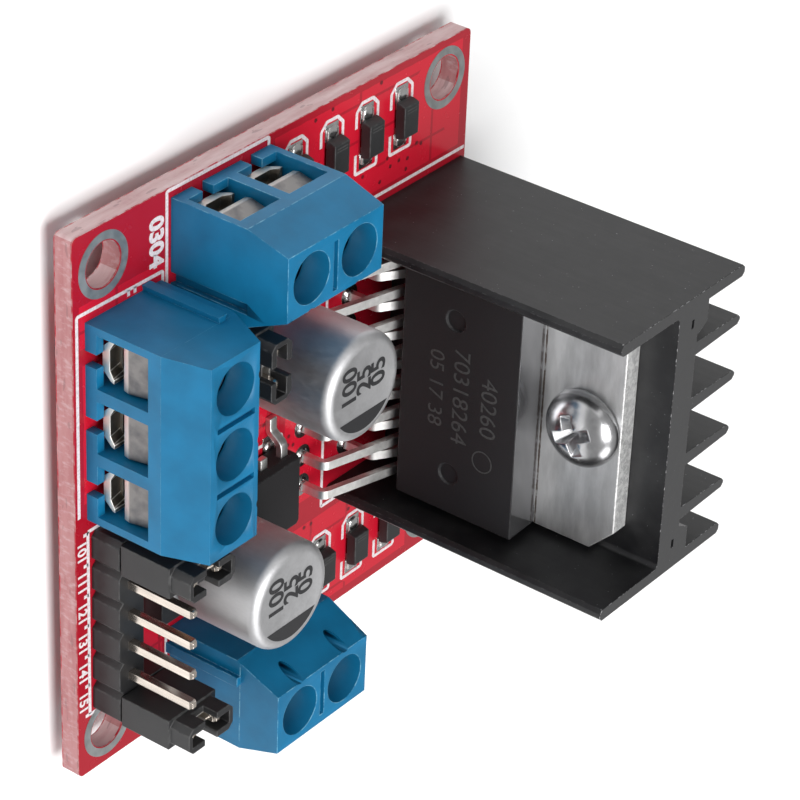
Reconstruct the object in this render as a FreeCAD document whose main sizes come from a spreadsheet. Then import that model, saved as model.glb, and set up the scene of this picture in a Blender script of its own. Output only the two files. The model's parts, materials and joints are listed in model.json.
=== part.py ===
import FreeCAD, Part
import math
import os
import Sketcher

# A small two-channel motor driver board: circuit board, power chip on a finned heatsink,
# three screw terminal blocks, pin headers with jumper shunts, two capacitors, a regulator
# and eight diodes. Millimetres. Origin on the surface it rests on, under the board's centre.
# X runs along the header edge, Y from the header to the heatsink, Z out of the board.

DRIVING_SIZES = (
    # circuit board
    ("board_length", 43.5), ("board_width", 43.0), ("board_thickness", 1.6),
    ("hole_inset", 3.0), ("mounting_hole", 3.4),
    ("stub_length", 1.5), ("drill_gap", 0.12), ("solder_height", 0.9), ("solder_ring", 0.5),
    # heatsink extrusion
    ("heatsink_width", 22.8), ("heatsink_height", 25.0), ("heatsink_depth", 15.4),
    ("heatsink_y", 5.9), ("web_front", 7.2), ("web_thickness", 2.5),
    ("wall_thickness", 0.95), ("fin_count", 4), ("fin_pitch", 4.62), ("fin_root", 1.15),
    ("fin_tip", 0.75), ("fin_rounding", 0.28), ("corner_rounding", 0.4),
    ("pin_boss_width", 2.4), ("pin_boss_depth", 1.2), ("pin_channel", 0.9),
    ("channel_inset", 2.2), ("mark_length", 0.7), ("mark_width", 0.3), ("mark_depth", 0.4),
    ("heatsink_pin_grip", 5.0), ("fit_gap", 0.05),
    # driver chip
    ("chip_width", 20.0), ("chip_height", 10.65), ("chip_depth", 5.0), ("chip_standoff", 4.65),
    ("chip_draft", 0.25), ("end_slope", 0.3), ("tab_thickness", 1.6), ("tab_reach", 6.7),
    ("tab_corner", 2.0),
    ("slug_width", 17.0), ("slug_bottom", 1.0), ("tab_hole", 3.7), ("tab_hole_from_end", 3.0),
    ("dimple_spacing", 12.9), ("dimple_width", 1.7), ("dimple_depth", 0.2),
    ("dimple_level", 9.55),
    ("lead_pitch", 1.27), ("outer_leads", 8), ("inner_leads", 7), ("lead_width", 0.7),
    ("lead_thickness", 0.5), ("lead_setback", 2.65), ("inner_row_reach", 5.1),
    ("row_spacing", 5.08), ("lead_bend", 0.9), ("outer_knee", 2.1), ("inner_knee", 2.6),
    # screw that clamps the chip
    ("screw_thread", 3.0), ("screw_length", 7.0), ("screw_head", 6.0), ("head_rim", 1.0),
    ("head_height", 2.1), ("head_crown", 3.6), ("recess_span", 3.0), ("recess_width", 0.85),
    ("recess_depth", 1.3),
    # screw terminal blocks
    ("pole_pitch", 5.08), ("cell_width", 4.1), ("end_wall", 0.6), ("block_depth", 7.6),
    ("block_height", 10.0), ("front_height", 6.6), ("front_slope", 1.05), ("top_back", 5.95),
    ("back_height", 6.3), ("end_draft", 0.15), ("sill_height", 1.0), ("sill_depth", 0.7),
    ("sill_slot", 1.1), ("entry_top", 5.5), ("band_thickness", 0.8), ("cavity_top", 7.7),
    ("back_wall", 1.2), ("access_hole", 3.8), ("access_depth", 3.5), ("top_groove", 0.45),
    ("groove_depth", 0.4), ("groove_start", 1.75), ("probe_hole", 1.0), ("probe_depth", 4.5),
    ("probe_setback", 6.75),
    ("rib_root", 0.6), ("rib_reach", 0.45), ("rib_flare", 0.12), ("rib_setback", 6.05),
    ("rib_height", 6.7), ("rib_gap", 0.08), ("power_block_x", -7.4), ("power_block_y", -20.35),
    ("left_block_x", 21.0), ("right_block_x", 21.4), ("output_block_y", -6.6),
    ("power_poles", 3), ("output_poles", 2),
    # contact cage, wire leaf and clamp screw in each pole
    ("strip_width", 3.5), ("strip_thickness", 0.4), ("trough_level", 1.2), ("lip_level", 1.85),
    ("cage_top", 5.7), ("cage_front", 2.1), ("strip_bend", 0.28), ("terminal_pin_width", 1.0),
    ("terminal_pin_depth", 0.7), ("leaf_width", 3.7), ("leaf_thickness", 0.45),
    ("leaf_level", 2.7), ("leaf_front", 0.75), ("leaf_lean", 0.6), ("leaf_top", 5.2),
    ("leaf_back", 5.2), ("clamp_head", 3.5), ("clamp_head_height", 1.1), ("clamp_shank", 2.6),
    ("clamp_head_level", 6.6), ("clamp_slot", 0.7), ("clamp_slot_depth", 0.6),
    ("thread_gap", 0.25), ("tip_gap", 0.08),
    # pin headers and jumper shunts
    ("pin_pitch", 2.54), ("header_pins", 6), ("header_x", 2.75), ("header_y", -18.7),
    ("pin_side", 0.64), ("pin_height", 8.3), ("pin_taper", 0.25), ("header_height", 2.54),
    ("section_notch", 0.4), ("supply_x", -10.4), ("supply_y", -10.5),
    ("shunt_width", 2.45), ("shunt_length", 5.0), ("shunt_body", 4.35), ("shunt_top", 1.75),
    ("shunt_step", 0.15), ("shunt_slot", 1.06), ("shunt_end_wall", 0.55), ("shunt_gap", 1.25),
    ("shunt_gap_depth", 1.3), ("shunt_seat", 0.1), ("clip_thickness", 0.15), ("clip_gap", 0.04),
    ("clip_height", 4.6), ("clip_length", 3.6),
    # surface-mount capacitors
    ("can_diameter", 8.2), ("can_height", 10.2), ("can_level", 0.6), ("can_rounding", 0.6),
    ("crimp_level", 2.4), ("crimp_height", 0.9), ("crimp_depth", 0.35), ("base_side", 8.3),
    ("base_height", 1.9), ("base_corner", 1.5), ("base_slack", 0.12), ("cap_lead_width", 0.9),
    ("cap_lead_thickness", 0.25), ("cap_lead_reach", 0.7), ("can_one_x", -6.3),
    ("can_one_y", -3.2), ("can_two_x", 7.25), ("can_two_y", -10.65),
    # regulator
    ("regulator_x", 6.9), ("regulator_y", -3.3), ("regulator_length", 6.1),
    ("regulator_width", 6.4), ("regulator_height", 2.3), ("regulator_chamfer", 0.5),
    ("regulator_lead_pitch", 2.28), ("regulator_lead_width", 0.75),
    ("regulator_lead_thickness", 0.5), ("regulator_lead_level", 1.3),
    ("regulator_lead_reach", 2.8), ("regulator_stub", 0.8), ("regulator_tab_width", 5.3),
    ("regulator_tab_reach", 1.1),
    # diodes
    ("diode_count", 4), ("diode_pitch", 4.0), ("diode_first_y", 1.33), ("diode_left_inset", 4.2),
    ("diode_right_inset", 4.45), ("diode_length", 2.85), ("diode_width", 1.65),
    ("diode_height", 1.05), ("diode_draft", 0.18), ("diode_lead_width", 1.2),
    ("diode_lead_thickness", 0.2), ("diode_span", 4.2),
    # small parts behind the power terminal
    ("chip_part_length", 2.0), ("chip_part_width", 1.25), ("resistor_height", 0.5),
    ("ceramic_height", 0.9), ("led_height", 0.8), ("led_base", 0.3), ("small_row_y", -10.6),
    ("led_x", -5.4), ("resistor_x", -2.6), ("ceramic_x", 0.6), ("ceramic_spacing", 2.4),
)

doc = FreeCAD.newDocument("MotorDriverModule")
sheet = doc.addObject("Spreadsheet::Sheet", "Sizes")
for row, (alias, number) in enumerate(DRIVING_SIZES, start=1):
    sheet.set("A%d" % row, alias)
    sheet.set("B%d" % row, str(number))
    sheet.setAlias("B%d" % row, alias)
doc.recompute()


class Size:
    """A length worked out from the sheet: its value and the expression that gives it."""

    def __init__(self, text, value):
        self.text = text
        self.value = value

    def join(self, sign, other, flipped=False):
        other = other if isinstance(other, Size) else Size(repr(other), other)
        first, second = (other, self) if flipped else (self, other)
        results = {
            "+": lambda a, b: a + b,
            "-": lambda a, b: a - b,
            "*": lambda a, b: a * b,
            "/": lambda a, b: a / b,
        }
        text = "(%s %s %s)" % (first.text, sign, second.text)
        return Size(text, results[sign](first.value, second.value))

    def __add__(self, other):
        return self.join("+", other)

    def __radd__(self, other):
        return self.join("+", other, True)

    def __sub__(self, other):
        return self.join("-", other)

    def __rsub__(self, other):
        return self.join("-", other, True)

    def __mul__(self, other):
        return self.join("*", other)

    def __rmul__(self, other):
        return self.join("*", other, True)

    def __truediv__(self, other):
        return self.join("/", other)

    def __neg__(self):
        return self.join("-", 0.0, True)


class Sizes:
    """Every driving size of the sheet, by its alias."""

    def __getattr__(self, alias):
        return Size("Sizes." + alias, float(sheet.get(alias)))


size = Sizes()
nodes = []

# levels and places that several pieces share
board_top = size.stub_length + size.board_thickness
board_bottom = size.stub_length
through = size.board_thickness + size.stub_length
web_face = size.heatsink_y + size.web_front
chip_face = web_face - size.chip_depth
chip_end = size.chip_standoff + size.chip_height
tab_end = chip_end + size.tab_reach
screw_level = tab_end - size.tab_hole_from_end
lead_plane = web_face - size.lead_setback
inner_row = web_face - size.inner_row_reach
outer_row = inner_row - size.row_spacing
pole_x = (size.front_slope + size.top_back) / 2


def bind(item, prop, length):
    setattr(item, prop, length.value)
    item.setExpression(prop, length.text)


def place(item, x=0, y=0, z=0, turn=0):
    """Put a sub-part at its place in the module, turned about the vertical."""
    item.Placement = FreeCAD.Placement(FreeCAD.Vector(0, 0, 0), FreeCAD.Rotation(turn, 0, 0))
    for axis, length in zip("xyz", (x, y, z)):
        if isinstance(length, Size):
            item.setExpression("Placement.Base." + axis, length.text)


def make_body(label):
    body = doc.addObject("PartDesign::Body", label)
    body.Label = label
    body.AllowCompound = True
    nodes.append(body)
    return body


def make_sketch(body, plane, level=None):
    sketch = body.newObject("Sketcher::SketchObject", body.Label + "_sketch")
    role = plane + "_Plane"
    support = [item for item in body.Origin.OriginFeatures if item.Role == role][0]
    sketch.AttachmentSupport = [(support, "")]
    sketch.MapMode = "FlatFace"
    if level is not None:
        offset = FreeCAD.Vector(0, 0, level.value)
        sketch.AttachmentOffset = FreeCAD.Placement(offset, FreeCAD.Rotation())
        sketch.setExpression("AttachmentOffset.Base.z", level.text)
    return sketch


def number(length):
    return length.value if isinstance(length, Size) else float(length)


def hold_points(sketch, held):
    """Hold points of a sketch, each (item, end, x, y), at sizes from the sheet."""
    constraints, texts = [], []
    for item, end, x, y in held:
        for kind, axis, length in (("DistanceX", -2, x), ("DistanceY", -1, y)):
            if isinstance(length, Size):
                constraints.append(Sketcher.Constraint(kind, -1, 1, item, end, length.value))
                texts.append(length.text)
            else:
                constraints.append(Sketcher.Constraint("PointOnObject", item, end, axis))
                texts.append(None)
    first = sketch.ConstraintCount
    sketch.addConstraint(constraints)
    for index, text in enumerate(texts, start=first):
        if text:
            sketch.setExpression("Constraints[%d]" % index, text)


def polygon(sketch, points):
    """A closed outline; a coordinate is a size, or a plain 0 on an axis."""
    places = [FreeCAD.Vector(number(x), number(y), 0) for x, y in points]
    following = places[1:] + places[:1]
    lines = [Part.LineSegment(start, finish) for start, finish in zip(places, following)]
    items = list(sketch.addGeometry(lines, False))
    joined = zip(items, items[1:] + items[:1])
    sketch.addConstraint([Sketcher.Constraint("Coincident", a, 2, b, 1) for a, b in joined])
    hold_points(sketch, [(item, 1, x, y) for item, (x, y) in zip(items, points)])


def rectangle(sketch, left, bottom, right, top):
    polygon(sketch, ((left, bottom), (right, bottom), (right, top), (left, top)))


def circle(sketch, x, y, diameter):
    centre = FreeCAD.Vector(number(x), number(y), 0)
    shape = Part.Circle(centre, FreeCAD.Vector(0, 0, 1), diameter.value / 2)
    item = sketch.addGeometry(shape, False)
    hold_points(sketch, [(item, 3, x, y)])
    index = sketch.addConstraint(Sketcher.Constraint("Diameter", item, diameter.value))
    sketch.setExpression("Constraints[%d]" % index, diameter.text)


def drilled(sketch, x, y, across):
    """A small drilled hole, drawn with six flats."""
    flat = across / 2
    half = flat * 0.5774
    point = half * 2
    polygon(sketch, (
        (x - half, y - flat), (x + half, y - flat), (x + point, y),
        (x + half, y + flat), (x - half, y + flat), (x - point, y),
    ))


def extrude(body, kind, sketch, length, backwards=False):
    sketch.recompute()
    feature = body.newObject("PartDesign::" + kind, body.Label + "_" + kind.lower())
    feature.Profile = sketch
    bind(feature, "Length", length)
    feature.Reversed = backwards
    sketch.Visibility = False
    return feature


def pad(body, sketch, length, backwards=False):
    return extrude(body, "Pad", sketch, length, backwards)


def pocket(body, sketch, length, backwards=False):
    return extrude(body, "Pocket", sketch, length, backwards)


def repeat(body, feature, sketch, axis, pitch, count):
    """Repeat a feature along a sketch axis; count is a size or a plain number."""
    pattern = body.newObject("PartDesign::LinearPattern", body.Label + "_pattern")
    pattern.Originals = [feature]
    pattern.Direction = (sketch, [axis])
    bind(pattern, "Length", pitch * (count - 1))
    pattern.Occurrences = int(round(number(count)))
    if isinstance(count, Size):
        pattern.setExpression("Occurrences", count.text)
    body.Tip = pattern
    return pattern


def round_edges(body, feature, radius, chosen, kind="Fillet"):
    """Round or bevel those edges of a feature that the test picks."""
    doc.recompute()
    names = []
    for index, edge in enumerate(feature.Shape.Edges, start=1):
        if chosen(edge):
            names.append("Edge%d" % index)
    rounding = body.newObject("PartDesign::" + kind, body.Label + "_" + kind.lower())
    rounding.Base = (feature, names)
    bind(rounding, "Radius" if kind == "Fillet" else "Size", radius)
    return rounding


def runs_along(edge, axis):
    """True for a straight edge parallel to an axis."""
    if len(edge.Vertexes) != 2 or not isinstance(edge.Curve, Part.Line):
        return False
    return abs(edge.Curve.Direction.dot(axis)) > 0.999


def revolve(body, sketch, axis):
    sketch.recompute()
    feature = body.newObject("PartDesign::Revolution", body.Label + "_turned")
    feature.Profile = sketch
    feature.ReferenceAxis = (sketch, [axis])
    feature.Angle = 360
    sketch.Visibility = False
    return feature


ALONG_X = FreeCAD.Vector(1, 0, 0)
ALONG_Y = FreeCAD.Vector(0, 1, 0)
ALONG_Z = FreeCAD.Vector(0, 0, 1)


def make_feature(label, shapes):
    """A sub-part of bent strip or a group of solids, shaped by code from the sheet."""
    feature = doc.addObject("Part::Feature", label)
    feature.Label = label
    feature.Shape = shapes[0] if len(shapes) == 1 else Part.makeCompound(shapes)
    nodes.append(feature)
    return feature


def bent_strip(route, bend, thickness, width):
    """A strip of metal bent along a route of (y, z) points, extruded along X.

    The route is the strip's middle line; every corner is bent round it in two flats.
    """
    points = [FreeCAD.Vector(0, number(y), number(z)) for y, z in route]
    radius = number(bend)
    line = [points[0]]
    for before, corner, after in zip(points, points[1:], points[2:]):
        inward = (corner - before).normalize()
        outward = (after - corner).normalize()
        half_turn = inward.getAngle(outward) / 2
        reach = radius * math.tan(half_turn)
        towards = (outward - inward).normalize()
        crest = corner + towards * (radius / math.cos(half_turn) - radius)
        line += [corner - inward * reach, crest, corner + outward * reach]
    line.append(points[-1])
    sides = ([], [])
    for index, spot in enumerate(line):
        inward = (spot - line[index - 1]).normalize() if index else None
        outward = (line[index + 1] - spot).normalize() if index + 1 < len(line) else None
        along = (inward or outward) + (outward or inward)
        across = FreeCAD.Vector(0, -along.z, along.y).normalize()
        half = number(thickness) / 2 / math.cos(along.getAngle(inward or outward))
        sides[0].append(spot + across * half)
        sides[1].append(spot - across * half)
    outline = sides[0] + sides[1][::-1]
    solid = Part.Face(Part.makePolygon(outline + outline[:1])).extrude(ALONG_X * number(width))
    solid.translate(ALONG_X * (number(width) / -2))
    return solid


def prism(sides, across, height, x, y, z):
    """An upright prism of that many flats, centred on x and y, with its underside at z."""
    radius = number(across) / 2 / math.cos(math.pi / sides)
    ring = flat_ring(sides, radius, x, y, number(z))
    return Part.Face(Part.makePolygon(ring)).extrude(ALONG_Z * number(height))


def flat_ring(sides, radius, x, y, level):
    """The corners of a level outline with that many flats, its first corner given twice."""
    centre = FreeCAD.Vector(number(x), number(y), level)
    corners = []
    for index in range(sides):
        turned = math.pi * (2 * index + 1) / sides
        corners.append(centre + FreeCAD.Vector(math.cos(turned), math.sin(turned), 0) * radius)
    return corners + corners[:1]


def stacked(rings):
    """A solid with flat sides through level rings of the same number of corners."""
    faces = [Part.Face(Part.makePolygon(rings[0])), Part.Face(Part.makePolygon(rings[-1]))]
    for lower, upper in zip(rings, rings[1:]):
        for index in range(len(lower) - 1):
            outline = [lower[index], lower[index + 1], upper[index + 1], upper[index], lower[index]]
            faces.append(Part.Face(Part.makePolygon(outline)))
    solid = Part.Solid(Part.Shell(faces))
    if solid.Volume < 0:
        solid.reverse()
    return solid


def block(length, width, height, x, y, z):
    """A box centred on x and y, with its underside at z."""
    corner = FreeCAD.Vector(number(x) - number(length) / 2, number(y) - number(width) / 2, number(z))
    return Part.makeBox(number(length), number(width), number(height), corner)


# places of every pin that passes through the board, as (x, y, width, depth)
def turned_place(x, y, origin_x, origin_y, turn):
    """A point of a block's own frame, in the module's frame, for quarter turns only."""
    if turn == 0:
        return origin_x + x, origin_y + y
    if turn == 90:
        return origin_x - y, origin_y + x
    return origin_x + y, origin_y - x


def pole_offsets(poles):
    middle = (poles - 1) / 2
    return [size.pole_pitch * index - size.pole_pitch * middle for index in range(int(poles.value))]


BLOCKS = (
    # name, poles, x, y, turn about the vertical
    ("power_terminal", size.power_poles, size.power_block_x, size.power_block_y, 0),
    ("left_output_terminal", size.output_poles, -size.left_block_x, size.output_block_y, -90),
    ("right_output_terminal", size.output_poles, size.right_block_x, size.output_block_y, 90),
)

header_places = []
for index in range(int(size.header_pins.value)):
    header_places.append((size.header_x + size.pin_pitch * index, size.header_y))
enable_y = size.header_y + size.pin_pitch
enable_places = [(header_places[0][0], enable_y), (header_places[-1][0], enable_y)]
supply_places = [
    (size.supply_x - size.pin_pitch / 2, size.supply_y),
    (size.supply_x + size.pin_pitch / 2, size.supply_y),
]
outer_places = []
for index in range(int(size.outer_leads.value)):
    step = size.lead_pitch * (2 * index) - size.lead_pitch * (size.outer_leads - 1)
    outer_places.append((step, outer_row))
inner_places = []
for index in range(int(size.inner_leads.value)):
    step = size.lead_pitch * (2 * index) - size.lead_pitch * (size.inner_leads - 1)
    inner_places.append((step, inner_row))
channel_x = size.heatsink_width / 2 - size.channel_inset
channel_y = web_face + size.web_thickness * 0.72
heatsink_places = [(-channel_x, channel_y), (channel_x, channel_y)]
terminal_places = []
for name, poles, x, y, turn in BLOCKS:
    for offset in pole_offsets(poles):
        terminal_places.append(turned_place(offset, pole_x, x, y, turn) + (turn,))


def drill_size(width, depth):
    """The drill that lets a pin of this section through, with its gap."""
    diagonal = math.hypot(width.value, depth.value) / width.value
    return width * round(diagonal, 3) + size.drill_gap * 2


def drill_row(body, places, across, pitch=None, count=None):
    """Drill the board at some places, or at one place repeated along X."""
    drills = make_sketch(body, "XY", board_top)
    for spot in places:
        drilled(drills, spot[0], spot[1], across)
    feature = pocket(body, drills, size.board_thickness)
    if pitch:
        repeat(body, feature, drills, "H_Axis", pitch, count)


# circuit board
def make_board():
    body = make_body("circuit_board")
    half_x, half_y = size.board_length / 2, size.board_width / 2
    outline = make_sketch(body, "XY", board_bottom)
    rectangle(outline, -half_x, -half_y, half_x, half_y)
    pad(body, outline, size.board_thickness)
    corners = make_sketch(body, "XY", board_top)
    hole_x, hole_y = half_x - size.hole_inset, half_y - size.hole_inset
    for side_x in (-1, 1):
        for side_y in (-1, 1):
            circle(corners, hole_x * side_x, hole_y * side_y, size.mounting_hole)
    pocket(body, corners, size.board_thickness)
    across = drill_size(size.pin_side, size.pin_side)
    drill_row(body, header_places[:1], across, size.pin_pitch, size.header_pins)
    drill_row(body, enable_places + supply_places, across)
    across = drill_size(size.lead_width, size.lead_thickness)
    drill_row(body, outer_places[:1], across, size.lead_pitch * 2, size.outer_leads)
    drill_row(body, inner_places[:1], across, size.lead_pitch * 2, size.inner_leads)
    across = drill_size(size.terminal_pin_width, size.terminal_pin_depth)
    power_row = terminal_places[:int(size.power_poles.value)]
    drill_row(body, power_row[:1], across, size.pole_pitch, size.power_poles)
    drill_row(body, terminal_places[len(power_row):], across)
    drill_row(body, heatsink_places, size.pin_channel + size.drill_gap * 2)


# heatsink: two walls and a web, with fins behind and split channels for its solder pins
def make_heatsink():
    body = make_body("heatsink")
    half = size.heatsink_width / 2
    inner = half - size.wall_thickness
    web_back = size.web_front + size.web_thickness
    depth = size.heatsink_depth
    sketch = make_sketch(body, "XY")
    polygon(sketch, (
        (-half, 0), (-inner, 0), (-inner, size.web_front), (inner, size.web_front),
        (inner, 0), (half, 0), (half, depth), (inner, depth),
        (inner, web_back), (-inner, web_back), (-inner, depth), (-half, depth),
    ))
    shell = pad(body, sketch, size.heatsink_height)
    first_fin = size.fin_pitch * (size.fin_count - 1) / -2
    fin_sketch = make_sketch(body, "XY")
    polygon(fin_sketch, (
        (first_fin - size.fin_root / 2, size.web_front + size.web_thickness / 2),
        (first_fin + size.fin_root / 2, size.web_front + size.web_thickness / 2),
        (first_fin + size.fin_tip / 2, depth), (first_fin - size.fin_tip / 2, depth),
    ))
    fin = pad(body, fin_sketch, size.heatsink_height)
    fins = repeat(body, fin, fin_sketch, "H_Axis", size.fin_pitch, size.fin_count)
    boss_sketch = make_sketch(body, "XY")
    boss_back = web_back + size.pin_boss_depth
    for side in (-1, 1):
        outer = inner * side + size.wall_thickness * side / 2
        edge = inner * side - size.pin_boss_width * side
        crest = edge + size.pin_boss_depth * side / 2
        polygon(boss_sketch, (
            (edge, web_back - size.web_thickness / 2), (outer, web_back - size.web_thickness / 2),
            (outer, boss_back), (crest, boss_back), (edge, web_back),
        ))
    bosses = pad(body, boss_sketch, size.heatsink_height)
    tip_line = depth.value - 0.01
    front_corner = size.web_front.value
    inner_x = inner.value

    def is_tip(edge):
        spot = edge.CenterOfMass
        return runs_along(edge, ALONG_Z) and (spot.y > tip_line or spot.y < 0.01)

    def is_corner(edge):
        spot = edge.CenterOfMass
        at_corner = abs(abs(spot.x) - inner_x) < 0.01 and abs(spot.y - front_corner) < 0.01
        return runs_along(edge, ALONG_Z) and at_corner

    tips = round_edges(body, bosses, size.fin_rounding, is_tip, "Chamfer")
    round_edges(body, tips, size.corner_rounding, is_corner)
    channel_depth = channel_y - size.heatsink_y
    bores = make_sketch(body, "XY")
    marks = make_sketch(body, "XY", size.heatsink_height)
    for side in (-1, 1):
        drilled(bores, channel_x * side, channel_depth, size.pin_channel)
        rectangle(marks, channel_x * side - size.mark_length / 2,
                  channel_depth - size.mark_width / 2, channel_x * side + size.mark_length / 2,
                  channel_depth + size.mark_width / 2)
    pocket(body, bores, size.heatsink_pin_grip + size.fit_gap, True)
    pocket(body, marks, size.mark_depth)
    screw_sketch = make_sketch(body, "XZ", -size.heatsink_depth)
    circle(screw_sketch, 0, screw_level, size.screw_thread + size.fit_gap * 2)
    pocket(body, screw_sketch, size.heatsink_depth, True)
    place(body, y=size.heatsink_y, z=board_top)


def make_heatsink_pins():
    length = board_top + size.heatsink_pin_grip
    across = size.pin_channel - size.fit_gap * 2
    pins = [prism(8, across, length, x, y, 0) for x, y in heatsink_places]
    make_feature("heatsink_solder_pins", pins)


# driver chip: moulded body, metal tab behind it, two rows of bent leads
def make_chip():
    body = make_body("driver_chip_body")
    half = size.chip_width / 2
    plastic_depth = size.chip_depth - size.tab_thickness
    slug_gap = size.slug_bottom
    sketch = make_sketch(body, "YZ", -half)
    draft = size.chip_draft
    polygon(sketch, (
        (0, size.chip_standoff + draft), (plastic_depth, size.chip_standoff),
        (size.chip_depth, size.chip_standoff), (size.chip_depth, chip_end - size.end_slope),
        (plastic_depth, chip_end - size.end_slope), (0, chip_end),
    ))
    pad(body, sketch, size.chip_width)
    ends = make_sketch(body, "XY", chip_end + draft)
    for side in (-1, 1):
        polygon(ends, (
            (half * side - draft * side, -draft), (half * side + draft * side, -draft),
            (half * side + draft * side, plastic_depth), (half * side, plastic_depth),
            (half * side - draft * side, 0),
        ))
    pocket(body, ends, size.chip_height + draft * 2)
    slug = make_sketch(body, "XZ", -size.chip_depth)
    rectangle(slug, -size.slug_width / 2, size.chip_standoff + slug_gap,
              size.slug_width / 2, chip_end + draft)
    pocket(body, slug, size.tab_thickness, True)
    dimples = make_sketch(body, "XZ")
    for side in (-1, 1):
        dimple_x = size.dimple_spacing * side / 2
        circle(dimples, dimple_x, size.dimple_level, size.dimple_width)
    pocket(body, dimples, size.dimple_depth)
    place(body, y=chip_face, z=board_top)

    tab = make_body("driver_chip_tab")
    plate = make_sketch(tab, "XZ")
    slug_half = size.slug_width / 2
    corner = size.tab_corner
    shoulder = chip_end - size.end_slope
    polygon(plate, (
        (-slug_half, size.chip_standoff + slug_gap), (slug_half, size.chip_standoff + slug_gap),
        (slug_half, shoulder), (half, shoulder), (half, tab_end - corner),
        (half - corner, tab_end), (corner - half, tab_end), (-half, tab_end - corner),
        (-half, shoulder), (-slug_half, shoulder),
    ))
    circle(plate, 0, screw_level, size.tab_hole)
    pad(tab, plate, size.tab_thickness, True)
    place(tab, y=web_face - size.tab_thickness, z=board_top)


def make_leads(label, places, row_y, knee):
    """One row of leads: out of the body's end, forward to the knee, down through the board."""
    solids = []
    for x, y in places:
        route = (
            (lead_plane, board_top + size.chip_standoff),
            (lead_plane, board_top + size.chip_standoff - size.lead_thickness),
            (row_y, board_top + knee),
            (row_y, 0),
        )
        strip = bent_strip(route, size.lead_bend / 2, size.lead_thickness, size.lead_width)
        strip.translate(FreeCAD.Vector(number(x), 0, 0))
        solids.append(strip)
    make_feature(label, solids)


# pan-head screw with a cross recess, from the chip's tab into the heatsink web
def make_chip_screw():
    body = make_body("chip_screw")
    sketch = make_sketch(body, "XY")
    rim, crown = size.screw_head / 2, size.head_crown / 2
    shank, point = size.screw_thread / 2, size.fit_gap * 8
    shoulder = (size.head_height + size.head_rim) / 2
    polygon(sketch, (
        (0, -size.head_height), (crown, -size.head_height),
        ((rim + crown) / 2 + point / 2, -shoulder), (rim, -size.head_rim), (rim, 0), (shank, 0),
        (shank, size.screw_length - point), (shank - point, size.screw_length),
        (0, size.screw_length),
    ))
    revolve(body, sketch, "V_Axis")
    cross = make_sketch(body, "XZ", size.head_height)
    span, width = size.recess_span / 2, size.recess_width / 2
    polygon(cross, (
        (-span, -width), (-width, -width), (-width, -span), (width, -span),
        (width, -width), (span, -width), (span, width), (width, width),
        (width, span), (-width, span), (-width, width), (-span, width),
    ))
    pocket(body, cross, size.recess_depth)
    place(body, y=web_face - size.tab_thickness, z=board_top + screw_level)


# terminal block housing, in its own frame: wires enter at the front, y = 0
def make_terminal_housing(name, poles, x, y, turn):
    body = make_body(name + "_housing")
    count = int(poles.value)
    partition = size.pole_pitch - size.cell_width
    length = size.pole_pitch * poles - partition + size.end_wall * 2
    half = length / 2
    first = size.pole_pitch * (poles - 1) / -2
    depth, height = size.block_depth, size.block_height

    profile = make_sketch(body, "YZ", -half)
    polygon(profile, (
        (0, 0), (depth, 0), (depth, size.back_height), (size.top_back, height),
        (size.front_slope, height), (0, size.front_height),
    ))
    pad(body, profile, length)

    ends = make_sketch(body, "XZ", -depth)
    for side in (-1, 1):
        polygon(ends, (
            (half * side, size.front_height), (half * side + size.end_wall * side, height),
            (half * side - size.end_draft * side, height),
        ))
    pocket(body, ends, depth, True)

    rib = make_sketch(body, "XY")
    near, far = size.rib_setback - size.rib_root / 2, size.rib_setback + size.rib_root / 2
    polygon(rib, (
        (-half, near), (-half, far), (-half - size.rib_reach, far + size.rib_flare),
        (-half - size.rib_reach, near - size.rib_flare),
    ))
    pad(body, rib, size.rib_height)
    groove = make_sketch(body, "XY", height)
    gap = size.rib_gap
    polygon(groove, (
        (half + gap, near - gap), (half + gap, far + gap),
        (half - size.rib_reach - gap, far + size.rib_flare + gap),
        (half - size.rib_reach - gap, near - size.rib_flare - gap),
    ))
    pocket(body, groove, height)

    cell = make_sketch(body, "YZ", first + size.cell_width / 2)
    cavity_back = depth - size.back_wall
    overcut = size.sill_depth
    polygon(cell, (
        (-overcut, size.sill_height), (size.sill_depth, size.sill_height),
        (size.sill_depth, -overcut), (cavity_back, -overcut), (cavity_back, size.cavity_top),
        (size.band_thickness, size.cavity_top), (size.band_thickness, size.entry_top),
        (-overcut, size.entry_top),
    ))
    cut = pocket(body, cell, size.cell_width)
    repeat(body, cut, cell, "N_Axis", size.pole_pitch, poles)

    slot = make_sketch(body, "XY")
    rectangle(slot, first - size.sill_slot / 2, -overcut, first + size.sill_slot / 2,
              size.sill_depth * 1.5)
    cut = pocket(body, slot, size.sill_height, True)
    repeat(body, cut, slot, "H_Axis", size.pole_pitch, poles)

    access = make_sketch(body, "XY", height)
    circle(access, first, pole_x, size.access_hole)
    cut = pocket(body, access, size.access_depth)
    repeat(body, cut, access, "H_Axis", size.pole_pitch, poles)

    probe = make_sketch(body, "XY", height)
    drilled(probe, first, size.probe_setback, size.probe_hole)
    cut = pocket(body, probe, size.probe_depth)
    repeat(body, cut, probe, "H_Axis", size.pole_pitch, poles)

    line = make_sketch(body, "XY", height)
    for index in range(count - 1):
        middle = first + size.pole_pitch * (index + 0.5)
        rectangle(line, middle - size.top_groove / 2, size.groove_start,
                  middle + size.top_groove / 2, size.top_back - size.groove_depth)
    pocket(body, line, size.groove_depth)
    place(body, x=x, y=y, z=board_top, turn=turn)


def in_block(shape, offset, x, y, turn):
    """Move a shape made for a pole at the block's middle to its pole in the module."""
    shape.translate(FreeCAD.Vector(number(offset), 0, 0))
    shape.rotate(FreeCAD.Vector(0, 0, 0), ALONG_Z, turn)
    shape.translate(FreeCAD.Vector(number(x), number(y), number(board_top)))
    return shape


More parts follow.
